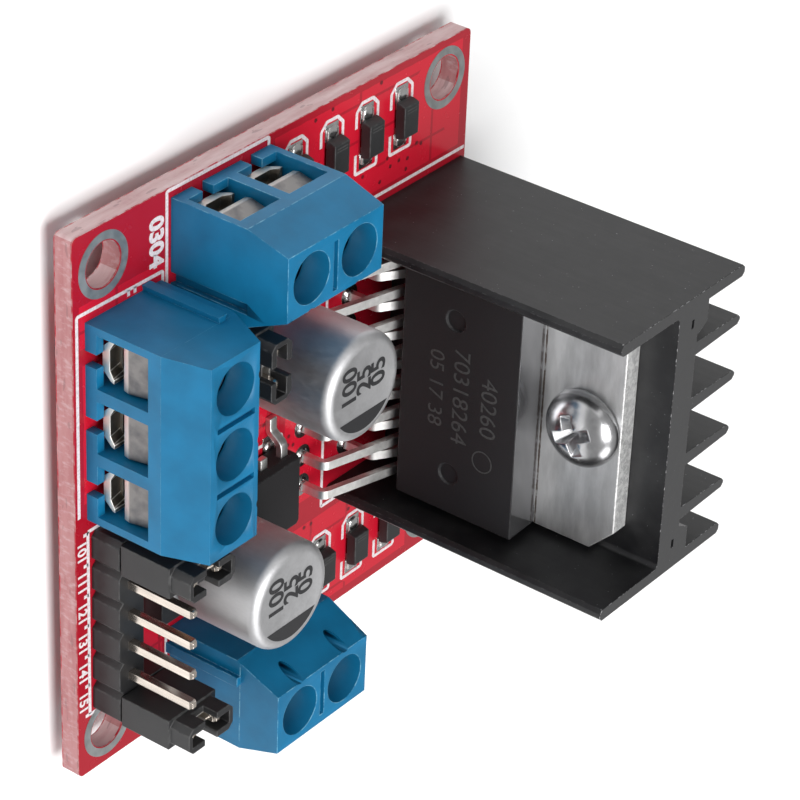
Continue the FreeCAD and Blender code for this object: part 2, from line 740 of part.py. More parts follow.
# the contact: a lip and trough for the wire, a back wall and a tapped top, and a solder pin
def make_contact(name, poles, x, y, turn):
    thickness = size.strip_thickness
    cage_back = size.block_depth - size.back_wall - thickness - size.fit_gap * 4
    lip_y = size.sill_depth + thickness / 2 + size.fit_gap
    solids = []
    for offset in pole_offsets(poles):
        route = (
            (lip_y + size.fit_gap, size.trough_level - thickness / 2),
            (lip_y, size.lip_level),
            (size.cage_front, size.trough_level), (cage_back, size.trough_level),
            (cage_back, size.cage_top), (size.cage_front, size.cage_top),
        )
        strip = bent_strip(route, size.strip_bend, thickness, size.strip_width)
        hole = prism(8, size.clamp_shank + size.thread_gap * 2, thickness * 2,
                     0, pole_x, size.cage_top - thickness)
        reach = through + size.trough_level
        pin = block(size.terminal_pin_width, size.terminal_pin_depth, reach, 0, pole_x, -through)
        piece = strip.cut(hole).fuse(pin).removeSplitter()
        solids.append(in_block(piece, offset, x, y, turn))
    make_feature(name + "_contacts", solids)


# the leaf that the screw presses on the wire, and the screw itself
def make_clamps(name, poles, x, y, turn):
    for index, offset in enumerate(pole_offsets(poles), start=1):
        route = (
            (size.leaf_front + size.leaf_lean, size.leaf_top),
            (size.leaf_front, size.leaf_level),
            (size.leaf_back, size.leaf_level),
        )
        leaf = bent_strip(route, size.leaf_thickness, size.leaf_thickness, size.leaf_width)
        make_feature("%s_leaf_%d" % (name, index), [in_block(leaf, offset, x, y, turn)])
        tip = size.leaf_level + size.leaf_thickness / 2 + size.tip_gap
        shank = prism(8, size.clamp_shank, size.clamp_head_level - tip, 0, pole_x, tip)
        head = Part.makeCylinder(
            number(size.clamp_head) / 2, number(size.clamp_head_height),
            FreeCAD.Vector(0, number(pole_x), number(size.clamp_head_level)))
        slot_floor = size.clamp_head_level + size.clamp_head_height - size.clamp_slot_depth
        slot = block(size.clamp_head * 2, size.clamp_slot, size.clamp_slot_depth * 2,
                     0, pole_x, slot_floor)
        screw = shank.fuse(head).cut(slot).removeSplitter()
        make_feature("%s_screw_%d" % (name, index), [in_block(screw, offset, x, y, turn)])


def bevelled_square(sketch, x, y, side_x, side_y, notch):
    """A section of header: a rectangle with bevelled corners."""
    left, right = x - side_x / 2, x + side_x / 2
    bottom, top = y - side_y / 2, y + side_y / 2
    polygon(sketch, (
        (left + notch, bottom), (right - notch, bottom), (right, bottom + notch),
        (right, top - notch), (right - notch, top), (left + notch, top),
        (left, top - notch), (left, bottom + notch),
    ))


def header_strip(sketch, places):
    """The outline of a strip of sections along X, with a notch between each two."""
    half, notch = size.pin_pitch / 2, size.section_notch
    lower, upper = [], []
    for x, y in places:
        lower += [(x - half, y - half + notch), (x - half + notch, y - half),
                  (x + half - notch, y - half)]
        upper += [(x - half, y + half - notch), (x - half + notch, y + half),
                  (x + half - notch, y + half)]
    lower.append((x + half, y - half + notch))
    upper.append((x + half, y + half - notch))
    polygon(sketch, lower + upper[::-1])


def make_header_housing(label, strips):
    """Moulded strips on the board with a square hole for every pin."""
    body = make_body(label)
    sketch = make_sketch(body, "XY")
    half_pin = size.pin_side / 2
    for places in strips:
        header_strip(sketch, places)
        for x, y in places:
            rectangle(sketch, x - half_pin, y - half_pin, x + half_pin, y + half_pin)
    pad(body, sketch, size.header_height)
    place(body, z=board_top)


def make_pins(label, places):
    """Square pins with tapered ends, from the stubs under the board to their tips."""
    side, taper = number(size.pin_side), number(size.pin_taper)
    tip = number(board_top) + number(size.pin_height)
    solids = []
    for x, y in places:
        levels = ((0, side - taper), (taper, side), (tip - taper, side), (tip, side - taper))
        rings = [flat_ring(4, width * math.sqrt(0.5), x, y, level) for level, width in levels]
        solids.append(stacked(rings))
    make_feature(label, solids)


# jumper shunt, made along Y about its own middle, with its underside at z = 0
def make_shunt(name, x, y, turn):
    body = make_body(name + "_housing")
    half_w, half_l = size.shunt_width / 2, size.shunt_length / 2
    base = make_sketch(body, "XY")
    rectangle(base, -half_w, -half_l, half_w, half_l)
    pad(body, base, size.shunt_body)
    upper = make_sketch(body, "XY", size.shunt_body)
    step = size.shunt_step
    corner = size.shunt_step * 3
    bevelled_square(upper, size.shunt_step * 0, size.shunt_step * 0,
                    size.shunt_width - step * 2, size.shunt_length - step * 2, corner)
    pad(body, upper, size.shunt_top)
    total = size.shunt_body + size.shunt_top
    slot = make_sketch(body, "XY", total)
    slot_half = half_l - size.shunt_end_wall
    rectangle(slot, -size.shunt_slot / 2, -slot_half, size.shunt_slot / 2, slot_half)
    pocket(body, slot, total)
    gap = make_sketch(body, "XY", total)
    rectangle(gap, -half_w, -size.shunt_gap / 2, half_w, size.shunt_gap / 2)
    pocket(body, gap, size.shunt_gap_depth)
    seat = board_top + size.header_height + size.shunt_seat
    place(body, x=x, y=y, z=seat, turn=turn)

    clip = make_body(name + "_clip")
    inner = size.pin_side / 2 + size.clip_gap
    outer = inner + size.clip_thickness
    reach = size.clip_length / 2
    web = size.clip_thickness / 2
    outline = make_sketch(clip, "XY", size.shunt_seat)
    polygon(outline, (
        (-outer, -reach), (-inner, -reach), (-inner, -web), (inner, -web), (inner, -reach),
        (outer, -reach), (outer, reach), (inner, reach), (inner, web), (-inner, web),
        (-inner, reach), (-outer, reach),
    ))
    pad(clip, outline, size.clip_height)
    place(clip, x=x, y=y, z=seat, turn=turn)


# capacitor: aluminium can on a moulded base with two flat terminals along X
def make_capacitor(name, x, y):
    can = make_body(name + "_can")
    radius, curve = size.can_diameter / 2, size.can_rounding
    profile = make_sketch(can, "XZ")
    crimp_top = size.crimp_level + size.crimp_height
    polygon(profile, (
        (0, size.can_level), (radius, size.can_level), (radius, size.crimp_level),
        (radius - size.crimp_depth, (size.crimp_level + crimp_top) / 2), (radius, crimp_top),
        (radius, size.can_height - curve),
        (radius - curve * 0.3, size.can_height - curve * 0.3),
        (radius - curve, size.can_height), (0, size.can_height),
    ))
    revolve(can, profile, "V_Axis")
    place(can, x=x, y=y, z=board_top)

    base = make_body(name + "_base")
    half = size.base_side / 2
    corner = size.base_corner
    plate = make_sketch(base, "XY")
    polygon(plate, (
        (corner - half, -half), (half, -half), (half, half), (corner - half, half),
        (-half, half - corner), (-half, corner - half),
    ))
    pad(base, plate, size.base_height)
    seat = make_sketch(base, "XY", size.base_height)
    circle(seat, 0, 0, size.can_diameter + size.base_slack * 2)
    pocket(base, seat, size.base_height - size.can_level)
    channel = make_sketch(base, "XY")
    lead_half = size.cap_lead_width / 2 + size.fit_gap
    rectangle(channel, -half - size.fit_gap, -lead_half, half + size.fit_gap, lead_half)
    pocket(base, channel, size.cap_lead_thickness, True)
    place(base, x=x, y=y, z=board_top)

    leads = []
    length = half + size.cap_lead_reach - size.cap_lead_width
    for side in (-1, 1):
        middle = x + (half + size.cap_lead_reach - length / 2) * side
        leads.append(block(length, size.cap_lead_width, size.cap_lead_thickness,
                           middle, y, board_top))
    make_feature(name + "_terminals", leads)


# regulator: moulded body on a metal tab, two bent leads and a cut middle one, along X
def make_regulator():
    x, y = size.regulator_x, size.regulator_y
    body = make_body("regulator_body")
    half = size.regulator_length / 2
    thickness = size.regulator_lead_thickness
    side = make_sketch(body, "XZ", -size.regulator_width / 2)
    bevel = size.regulator_chamfer
    polygon(side, (
        (-half, thickness / 2), (0, thickness / 2), (0, thickness), (half, thickness),
        (half, size.regulator_height - bevel), (half - bevel / 2, size.regulator_height),
        (bevel / 2 - half, size.regulator_height), (-half, size.regulator_height - bevel),
    ))
    moulding = pad(body, side, size.regulator_width)
    corner_x = half.value

    def is_corner(edge):
        spot = edge.CenterOfMass
        return runs_along(edge, ALONG_Z) and abs(spot.x - corner_x) < 0.01

    round_edges(body, moulding, bevel, is_corner, "Chamfer")
    level = size.regulator_lead_level
    holes = make_sketch(body, "YZ", -half)
    for step in (-1, 0, 1):
        middle = size.regulator_lead_pitch * step if step else size.regulator_lead_pitch * 0
        rectangle(holes, middle - size.regulator_lead_width / 2, level - thickness / 2,
                  middle + size.regulator_lead_width / 2, level + thickness / 2)
    pocket(body, holes, thickness, True)
    place(body, x=x, y=y, z=board_top)

    tab = make_body("regulator_tab")
    plate = make_sketch(tab, "XY")
    tab_half = size.regulator_tab_width / 2
    rectangle(plate, size.regulator_length * 0, -tab_half,
              half + size.regulator_tab_reach, tab_half)
    pad(tab, plate, thickness)
    place(tab, x=x, y=y, z=board_top)

    leads = []
    for step in (-1, 0, 1):
        reach = size.regulator_stub if step == 0 else size.regulator_lead_reach
        inside = thickness - half
        if step == 0:
            route = ((-inside, level), (half + reach, level))
        else:
            route = (
                (-inside, level), (half + reach / 3, level),
                (half + reach * 0.6, thickness / 2), (half + reach, thickness / 2),
            )
        strip = bent_strip(route, size.lead_bend / 2, thickness, size.regulator_lead_width)
        strip.rotate(FreeCAD.Vector(0, 0, 0), ALONG_Z, 90)
        offset = number(size.regulator_lead_pitch) * step
        strip.translate(FreeCAD.Vector(number(x), number(y) + offset, number(board_top)))
        leads.append(strip)
    make_feature("regulator_leads", leads)


# a column of diodes: moulded bodies whose sides slope above the leads, long way along X
def make_diodes(side, x):
    body = make_body(side + "_diode_bodies")
    half_l, half_w = size.diode_length / 2, size.diode_width / 2
    first = size.diode_first_y
    profile = make_sketch(body, "XZ", -first - half_w)
    foot = size.diode_lead_thickness
    draft = size.diode_draft
    polygon(profile, (
        (-half_l, foot), (half_l, foot), (half_l, size.diode_height / 2),
        (half_l - draft, size.diode_height), (draft - half_l, size.diode_height),
        (-half_l, size.diode_height / 2),
    ))
    moulding = pad(body, profile, size.diode_width)
    repeat(body, moulding, profile, "N_Axis", size.diode_pitch, size.diode_count)
    body.Tip.Reversed = True
    place(body, x=x, z=board_top)

    leads = []
    for index in range(int(size.diode_count.value)):
        y = first + size.diode_pitch * index
        for end in (-1, 1):
            reach = size.diode_span / 2 * end
            length = size.diode_span / 2 - size.diode_length / 4
            middle = x + reach - length * end / 2
            leads.append(block(length, size.diode_lead_width, size.diode_lead_thickness,
                               middle, y, board_top))
    make_feature(side + "_diode_leads", leads)


def make_small_parts():
    """The supply lamp, its resistor and two ceramic capacitors, behind the power terminal."""
    row = size.small_row_y
    lamp_base = block(size.chip_part_length, size.chip_part_width, size.led_base,
                      size.led_x, row, board_top)
    lens = block(size.chip_part_length * 0.6, size.chip_part_width,
                 size.led_height - size.led_base, size.led_x, row, board_top + size.led_base)
    make_feature("power_led", [lamp_base.fuse(lens).removeSplitter()])
    make_feature("led_resistor", [block(
        size.chip_part_length, size.chip_part_width, size.resistor_height,
        size.resistor_x, row, board_top)])
    ceramics = []
    for step in (0, 1):
        ceramics.append(block(
            size.chip_part_length, size.chip_part_width, size.ceramic_height,
            size.ceramic_x, row + size.ceramic_spacing * step, board_top))
    make_feature("ceramic_capacitors", ceramics)


def solder_cone(x, y, width, depth, turn=0):
    """Solder under the board around one pin, with the pin's own section left open."""
    half = max(number(width), number(depth)) / 2 + number(size.fit_gap) * 2
    top = number(board_bottom)
    foot = flat_ring(6, half, x, y, top - number(size.solder_height))
    cone = stacked([foot, flat_ring(6, half + number(size.solder_ring), x, y, top)])
    if turn:
        width, depth = depth, width
    return cone.cut(block(width, depth, board_bottom, x, y, 0))


def make_solder():
    joints = []
    for x, y in header_places + enable_places + supply_places:
        joints.append(solder_cone(x, y, size.pin_side, size.pin_side))
    for x, y in outer_places + inner_places:
        joints.append(solder_cone(x, y, size.lead_width, size.lead_thickness))
    for x, y, turn in terminal_places:
        joints.append(solder_cone(x, y, size.terminal_pin_width, size.terminal_pin_depth, turn))
    for x, y in heatsink_places:
        joints.append(solder_cone(x, y, size.pin_channel, size.pin_channel))
    make_feature("solder_joints", joints)


make_board()
make_heatsink()
make_heatsink_pins()
make_chip()
make_leads("driver_chip_outer_leads", outer_places, outer_row, size.outer_knee)
make_leads("driver_chip_inner_leads", inner_places, inner_row, size.inner_knee)
make_chip_screw()
for name, poles, x, y, turn in BLOCKS:
    make_terminal_housing(name, poles, x, y, turn)
    make_contact(name, poles, x, y, turn)
    make_clamps(name, poles, x, y, turn)
make_header_housing("input_header_housing", [header_places])
make_pins("input_header_pins", header_places)
make_header_housing("enable_header_housings", [[spot] for spot in enable_places])
make_pins("enable_header_pins", enable_places)
make_header_housing("supply_header_housing", [supply_places])
make_pins("supply_header_pins", supply_places)
shunt_y = size.header_y + size.pin_pitch / 2
make_shunt("first_enable_shunt", enable_places[0][0], shunt_y, 0)
make_shunt("second_enable_shunt", enable_places[1][0], shunt_y, 0)
make_shunt("supply_shunt", size.supply_x, size.supply_y, 90)
make_capacitor("supply_capacitor", size.can_one_x, size.can_one_y)
make_capacitor("logic_capacitor", size.can_two_x, size.can_two_y)
make_regulator()
make_diodes("left", size.diode_left_inset - size.board_length / 2)
make_diodes("right", size.board_length / 2 - size.diode_right_inset)
make_small_parts()
make_solder()
doc.recompute()

for item in doc.Objects:
    if "Invalid" in item.State or "Error" in item.State:
        raise RuntimeError("%s failed: %s" % (item.Label, item.State))
for node in nodes:
    if node.Shape.isNull() or not node.Shape.isValid():
        raise RuntimeError("%s has no valid shape" % node.Label)

os.makedirs("parts", exist_ok=True)
for node in nodes:
    node.Shape.exportStep("parts/%s.step" % node.Label)
print("%d sub-parts written" % len(nodes))
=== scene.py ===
import bpy
import bmesh
import json
import math
from mathutils import Matrix, Vector


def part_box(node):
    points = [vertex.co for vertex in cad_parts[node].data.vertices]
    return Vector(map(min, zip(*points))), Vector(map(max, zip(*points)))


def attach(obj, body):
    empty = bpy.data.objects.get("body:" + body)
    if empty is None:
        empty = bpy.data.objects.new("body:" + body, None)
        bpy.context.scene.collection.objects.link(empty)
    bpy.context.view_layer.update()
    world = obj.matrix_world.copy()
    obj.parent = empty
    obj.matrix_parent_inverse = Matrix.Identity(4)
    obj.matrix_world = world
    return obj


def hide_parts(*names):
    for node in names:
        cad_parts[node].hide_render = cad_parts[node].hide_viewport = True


# Motor driver module: finishes, printed marks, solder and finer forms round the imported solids.
# Lengths in the dictionaries are millimetres, in the module's own frame; meshes are in metres.

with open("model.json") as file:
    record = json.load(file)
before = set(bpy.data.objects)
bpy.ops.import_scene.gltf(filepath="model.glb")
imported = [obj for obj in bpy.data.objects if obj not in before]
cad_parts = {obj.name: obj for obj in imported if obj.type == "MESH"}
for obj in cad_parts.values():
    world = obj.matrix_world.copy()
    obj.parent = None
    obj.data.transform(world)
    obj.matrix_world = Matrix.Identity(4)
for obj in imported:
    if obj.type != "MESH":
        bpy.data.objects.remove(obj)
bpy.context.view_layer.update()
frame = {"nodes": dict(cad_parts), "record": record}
nodes = frame["nodes"]
mm = 0.001
boardTop = 3.1
boardUnder = 1.5
grainDepth = 0.01 * mm  # of the finest bumps in the finishes
scene = bpy.context.scene
bodyOf = {}
for body, members in frame["record"]["behaviour"]["bodies"].items():
    for member in members:
        bodyOf[member] = body
print("frame loaded:", len(nodes), "solids")


class Value:
    # one socket of a node tree, which takes part in sums
    def __init__(self, owner, socket):
        self.owner = owner
        self.socket = socket

    def math(self, operation, *others):
        return self.owner.sum(operation, self, *others)

    def __add__(self, other):
        return self.math("ADD", other)

    def __radd__(self, other):
        return self.owner.sum("ADD", other, self)

    def __sub__(self, other):
        return self.math("SUBTRACT", other)

    def __rsub__(self, other):
        return self.owner.sum("SUBTRACT", other, self)

    def __mul__(self, other):
        return self.math("MULTIPLY", other)

    def __rmul__(self, other):
        return self.owner.sum("MULTIPLY", other, self)

    def __truediv__(self, other):
        return self.math("DIVIDE", other)

    def __rtruediv__(self, other):
        return self.owner.sum("DIVIDE", other, self)

    def __gt__(self, other):
        return self.math("GREATER_THAN", other)

    def __lt__(self, other):
        return self.math("LESS_THAN", other)

    def __abs__(self):
        return self.math("ABSOLUTE")


class Tree:
    # what a material's tree and a shape's tree have in common
    def node(self, kind, settings=None, values=None, out=0):
        made = self.tree.nodes.new(kind)
        for key, value in (settings or {}).items():
            setattr(made, key, value)
        for key, value in (values or {}).items():
            if isinstance(value, Value):
                self.tree.links.new(value.socket, made.inputs[key])
            else:
                made.inputs[key].default_value = value
        return Value(self, made.outputs[out])

    def sum(self, operation, *values):
        return self.node("ShaderNodeMath", {"operation": operation}, dict(enumerate(values)))

    def split(self, vector):
        first = self.node("ShaderNodeSeparateXYZ", values={"Vector": vector}, out="X")
        outputs = first.socket.node.outputs
        return first, Value(self, outputs["Y"]), Value(self, outputs["Z"])


class Paint(Tree):
    # a material: constants go straight onto the shader's own sockets
    def __init__(self, name, sockets=None):
        self.material = bpy.data.materials.new(name)
        self.material.use_nodes = True
        self.tree = self.material.node_tree
        self.shader = self.tree.nodes["Principled BSDF"]
        for label, value in (sockets or {}).items():
            self.shader.inputs[label].default_value = value

    def feed(self, label, value):
        self.tree.links.new(value.socket, self.shader.inputs[label])

    def place(self):
        return self.node("ShaderNodeTexCoord", out="Object")

    def stretched(self, scale, turn=(0, 0, 0)):
        return self.node("ShaderNodeMapping", values={
            "Vector": self.place(), "Scale": scale, "Rotation": turn})

    def noise(self, scale, detail=3.0, rough=0.5, at=None):
        return self.node("ShaderNodeTexNoise", values={
            "Vector": at or self.place(), "Scale": scale, "Detail": detail, "Roughness": rough})

    def grey(self, value, low, high):
        # spreads a value between two numbers, kept inside 0 and 1
        return self.node("ShaderNodeMapRange", values={
            "Value": value, "From Min": low, "From Max": high})

    def mixed(self, share, first, second):
        colours = {}
        for key, colour in ((6, first), (7, second)):
            colours[key] = colour if isinstance(colour, Value) else (*colour, 1)
        return self.node("ShaderNodeMix", {"data_type": "RGBA"}, {0: share, **colours}, out=2)

    def normal(self):
        return self.split(self.node("ShaderNodeNewGeometry", out="Normal"))

    def wear(self):
        return self.node("ShaderNodeAttribute", {"attribute_name": "wear"}, out="Fac")

    def bump(self, height, distance, strength=1.0):
        self.feed("Normal", self.node("ShaderNodeBump", values={
            "Height": height, "Distance": distance, "Strength": strength}))


def boardFinish():
    look = {"mask": (0.56, 0.008, 0.026), "bare": (0.38, 0.008, 0.022),
            "deep": (0.33, 0.004, 0.014), "glass": (0.46, 0.22, 0.225),
            "glassDark": (0.38, 0.14, 0.145), "glassPale": (0.58, 0.42, 0.42),
            "paintedLitGlass": (0.76, 0.66, 0.66), "dash": (0.16, 0.10, 0.10),
            "trackX": 2.9, "trackY": 4.3}
    # copper areas under the mask: left, bottom, right, top
    pours = ((-21.2, -0.9, -12.5, 20.6), (-11.9, -20.6, -1.0, -11.9), (3.2, -15.0, 20.9, -12.6),
             (12.7, -1.0, 21.0, 16.2), (-10.5, 0.9, 10.5, 5.2), (-3.4, -10.0, 1.4, -1.2),
             (1.7, -10.4, 11.9, 0.2), (-16.5, -20.9, -13.2, -1.5))
    paint = Paint("boardMaskAndGlass", {"IOR": 1.5})
    x, y, z = paint.split(paint.place())
    wobble = paint.noise(900, 2) * 0.0002 - 0.0001
    copper = None
    for left, bottom, right, top in pours:
        inside = (x + wobble > left * mm) * (x < right * mm)
        inside = inside * (y + wobble > bottom * mm) * (y < top * mm)
        copper = inside if copper is None else copper.math("MAXIMUM", inside)
    # narrow gaps that part the copper into tracks
    gapX = abs((x / (look["trackX"] * mm)).math("FRACT") - 0.5) > 0.462
    gapY = abs((y / (look["trackY"] * mm)).math("FRACT") - 0.5) > 0.472
    tracks = copper * (1 - gapX.math("MAXIMUM", gapY) * (paint.noise(160, 1) > 0.5))
    cloud = paint.noise(140, 4, 0.6)
    bare = paint.mixed(cloud, look["bare"], look["deep"])
    face = paint.mixed(tracks * (0.75 + cloud * 0.25), bare, look["mask"])
    layers = paint.noise(230, 4, 0.6, at=paint.stretched((1, 1, 7)))
    fibres = paint.noise(2600, 3, 0.6, at=paint.stretched((1, 1, 0.5)))
    edge = paint.mixed(paint.grey(layers, 0.25, 0.62), look["glassDark"], look["glass"])
    # painted light: the edges facing along x are painted paler, following the layers
    edge = paint.mixed((abs(paint.normal()[0]) > 0.6) * (layers * 0.9), edge, look["paintedLitGlass"])
    edge = paint.mixed(paint.grey(fibres, 0.5, 0.85), edge, look["glassPale"])
    # short dark dashes where the router cut through copper
    dashes = paint.noise(420, 2, at=paint.stretched((1, 1, 4))) > 0.66
    edge = paint.mixed(dashes * 0.35, edge, look["dash"])
    rim = (z > (boardTop - 0.12) * mm).math("MAXIMUM", z < (boardUnder + 0.1) * mm)
    edge = paint.mixed(rim * paint.grey(paint.noise(1500, 2), 0.4, 0.6), edge, look["bare"])
    upright = paint.normal()[2]
    flat = abs(upright) > 0.6
    paint.feed("Base Color", paint.mixed(flat, edge, face))
    paint.feed("Roughness", 0.72 - flat * 0.5 + paint.noise(1200, 2) * 0.08)
    ripple = paint.noise(500, 3) * 0.3 + tracks * flat * 0.7 + (1 - flat) * layers * 0.6
    paint.bump(ripple, 0.03 * mm, 0.6)
    return paint.material


def printFinish(name, colour, spread=0.12, rough=0.55):
    paint = Paint(name)
    grain = paint.noise(5200, 3)
    darker = tuple(channel * (1 - spread * 2) for channel in colour)
    paint.feed("Base Color", paint.mixed(paint.grey(grain, 0.35, 0.6), darker, colour))
    paint.feed("Roughness", rough + grain * 0.15)
    paint.bump(grain, grainDepth, 0.4)
    return paint.material


def metalFinish(name, colour, rough, streak=(1, 1, 1), scale=1500, spread=0.2, tint=None):
    paint = Paint(name, {"Metallic": 1.0})
    brushed = paint.noise(scale, 4, 0.6, at=paint.stretched(streak))
    patches = paint.noise(scale * 0.18, 3)
    darker = tint or tuple(channel * (1 - spread) for channel in colour)
    share = paint.grey(brushed * 0.6 + patches * 0.4, 0.35, 0.62)
    paint.feed("Base Color", paint.mixed(share, darker, colour))
    paint.feed("Roughness", rough * 0.8 + brushed * rough * 0.35 + patches * rough * 0.15)
    paint.bump(brushed, grainDepth, 0.5)
    return paint.material


def plasticFinish(name, colour, rough, grain=4000, worn=None, refraction=1.48):
    paint = Paint(name, {"IOR": refraction})
    fine = paint.noise(grain, 3, 0.6)
    broad = paint.noise(grain * 0.09, 3)
    darker = tuple(channel * 0.8 for channel in colour)
    body = paint.mixed(paint.grey(broad, 0.35, 0.65), darker, colour)
    if worn:
        marks = paint.wear() * paint.grey(paint.noise(grain * 0.3, 4, 0.7), 0.42, 0.66)
        body = paint.mixed(marks * 0.8, body, worn)
        paint.feed("Roughness", rough - 0.04 + fine * 0.08 + marks * 0.15)
    else:
        paint.feed("Roughness", rough - 0.04 + fine * 0.08 + broad * 0.04)
    paint.feed("Base Color", body)
    paint.bump(fine * 0.5 + broad * 1.2, grainDepth, 0.7)
    return paint.material


def heatsinkFinish():
    look = {"black": (0.007, 0.007, 0.008), "dusty": (0.020, 0.020, 0.021),
            "bright": (0.42, 0.42, 0.43), "sawn": (0.045, 0.045, 0.046),
            "wornFrom": boardTop + 24.85}
    paint = Paint("blackAnodised", {"IOR": 1.42})
    # lines along the extrusion
    drawn = paint.noise(2200, 4, 0.65, at=paint.stretched((1, 1, 0.05)))
    dust = paint.noise(420, 4, 0.6)
    z = paint.split(paint.place())[2]
    sawn = paint.normal()[2] > 0.9  # the end away from the board
    body = paint.mixed(paint.grey(dust, 0.42, 0.75), look["black"], look["dusty"])
    body = paint.mixed(sawn, body, look["sawn"])
    nearEnd = (z > look["wornFrom"] * mm) * 0.9 + 0.1
    specks = (paint.noise(2600, 5, 0.75) > 0.55) * paint.wear() * nearEnd
    pits = paint.noise(3800, 2, 0.8) > 0.745
    bright = specks.math("MAXIMUM", pits * 0.6)
    paint.feed("Base Color", paint.mixed(bright, body, look["bright"]))
    paint.feed("Metallic", bright * 0.9)
    paint.feed("Roughness", 0.33 + drawn * 0.12 + dust * 0.12)
    paint.bump(drawn * 0.6 + dust * 0.4, 0.012 * mm, 0.6)
    return paint.material


def chipFinish():
    look = {"epoxy": (0.011, 0.010, 0.011), "worn": (0.04, 0.04, 0.042),
            "polished": (0.34, 0.34, 0.35), "endFrom": 15}
    paint = Paint("chipEpoxy", {"IOR": 1.42})
    grain = paint.noise(7000, 3, 0.7)
    marks = paint.wear() * paint.grey(grain, 0.5, 0.65)
    z = paint.split(paint.place())[2]
    # the end by the tab mirrors it
    polished = (paint.normal()[2] > 0.9) * (z > look["endFrom"] * mm)
    body = paint.mixed(marks, look["epoxy"], look["worn"])
    paint.feed("Base Color", paint.mixed(polished, body, look["polished"]))
    paint.feed("Metallic", polished * 0.9)
    paint.feed("Roughness", 0.52 + grain * 0.12 - polished * 0.44)
    paint.bump(grain * (1 - polished), 0.012 * mm, 0.6)
    return paint.material


def tabFinish():
    look = {"tin": (0.70, 0.70, 0.70), "dull": (0.50, 0.50, 0.50), "burr": (0.88, 0.88, 0.87),
            "flux": (0.09, 0.055, 0.035), "fluxLevel": boardTop + 15.15}
    paint = Paint("tinnedTab", {"Metallic": 1.0})
    smear = paint.noise(380, 4, 0.6, at=paint.stretched((0.5, 1, 2)))
    burr = paint.wear() * paint.grey(paint.noise(3500, 3, 0.7), 0.4, 0.6)
    body = paint.mixed(paint.grey(smear, 0.32, 0.6), look["dull"], look["tin"])
    sheared = abs(paint.normal()[1]) < 0.5
    torn = paint.noise(2400, 4, 0.8) * sheared
    patches = paint.grey(paint.noise(1900, 4, 0.8), 0.42, 0.6)
    body = paint.mixed(sheared * patches, body, look["burr"])
    z = paint.split(paint.place())[2]
    edge = paint.noise(1600, 3, 0.7) * 0.00016
    broken = paint.grey(paint.noise(1100, 3, 0.7), 0.3, 0.5)
    flux = (abs(z - look["fluxLevel"] * mm) < edge) * broken
    body = paint.mixed(flux * 0.85, body, look["flux"])
    paint.feed("Base Color", paint.mixed(burr, body, look["burr"]))
    paint.feed("Roughness", 0.46 + smear * 0.14 + (burr + sheared) * 0.1)
    paint.bump(paint.noise(5000, 3) * 0.3 + burr * 0.5 + torn * 3, 0.02 * mm, 0.7)
    return paint.material


def contactFinish():
    # rubbed edges and front; upward faces inside the cage are painted dark as shade
    look = {"rubbed": (0.80, 0.76, 0.70), "paintedShade": (0.16, 0.14, 0.115),
            "edge": (0.92, 0.90, 0.86)}
    paint = Paint("platedContact", {"Metallic": 1.0})
    drawn = paint.noise(1300, 4, 0.6, at=paint.stretched((1, 1, 0.3)))
    # painted shade: faces turned upwards, such as the trough floor inside the cage, are darkened
    inside = paint.grey(paint.normal()[2], 0.2, 0.5)
    body = paint.mixed(inside * (0.75 + drawn * 0.25), look["rubbed"], look["paintedShade"])
    paint.feed("Base Color", paint.mixed(paint.wear(), body, look["edge"]))
    paint.feed("Roughness", 0.4 + drawn * 0.12)
    paint.bump(drawn, grainDepth, 0.5)
    return paint.material


def leafFinish():
    # the bend at the foot is painted bright as a highlight; the plate above it is painted dark as
    # shade, mottled with stains
    look = {"bend": (0.86, 0.80, 0.73), "plate": (0.24, 0.23, 0.225),
            "stain": (0.15, 0.145, 0.15), "bendTop": 6.3, "fade": 0.08}
    paint = Paint("nickelLeaf", {"Metallic": 1.0})
    z = paint.split(paint.place())[2]
    drawn = paint.noise(1300, 4, 0.6, at=paint.stretched((1, 1, 0.3)))
    plate = paint.mixed(paint.grey(paint.noise(900, 3), 0.42, 0.66), look["plate"], look["stain"])
    level, fade = look["bendTop"], look["fade"]
    above = paint.grey(z, (level - fade) * mm, (level + fade) * mm)
    # painted highlight on the bend below bendTop, painted shade on the plate above it
    paint.feed("Base Color", paint.mixed(above, look["bend"], plate))
    paint.feed("Roughness", 0.3 + drawn * 0.15)
    paint.bump(drawn, grainDepth, 0.5)
    return paint.material


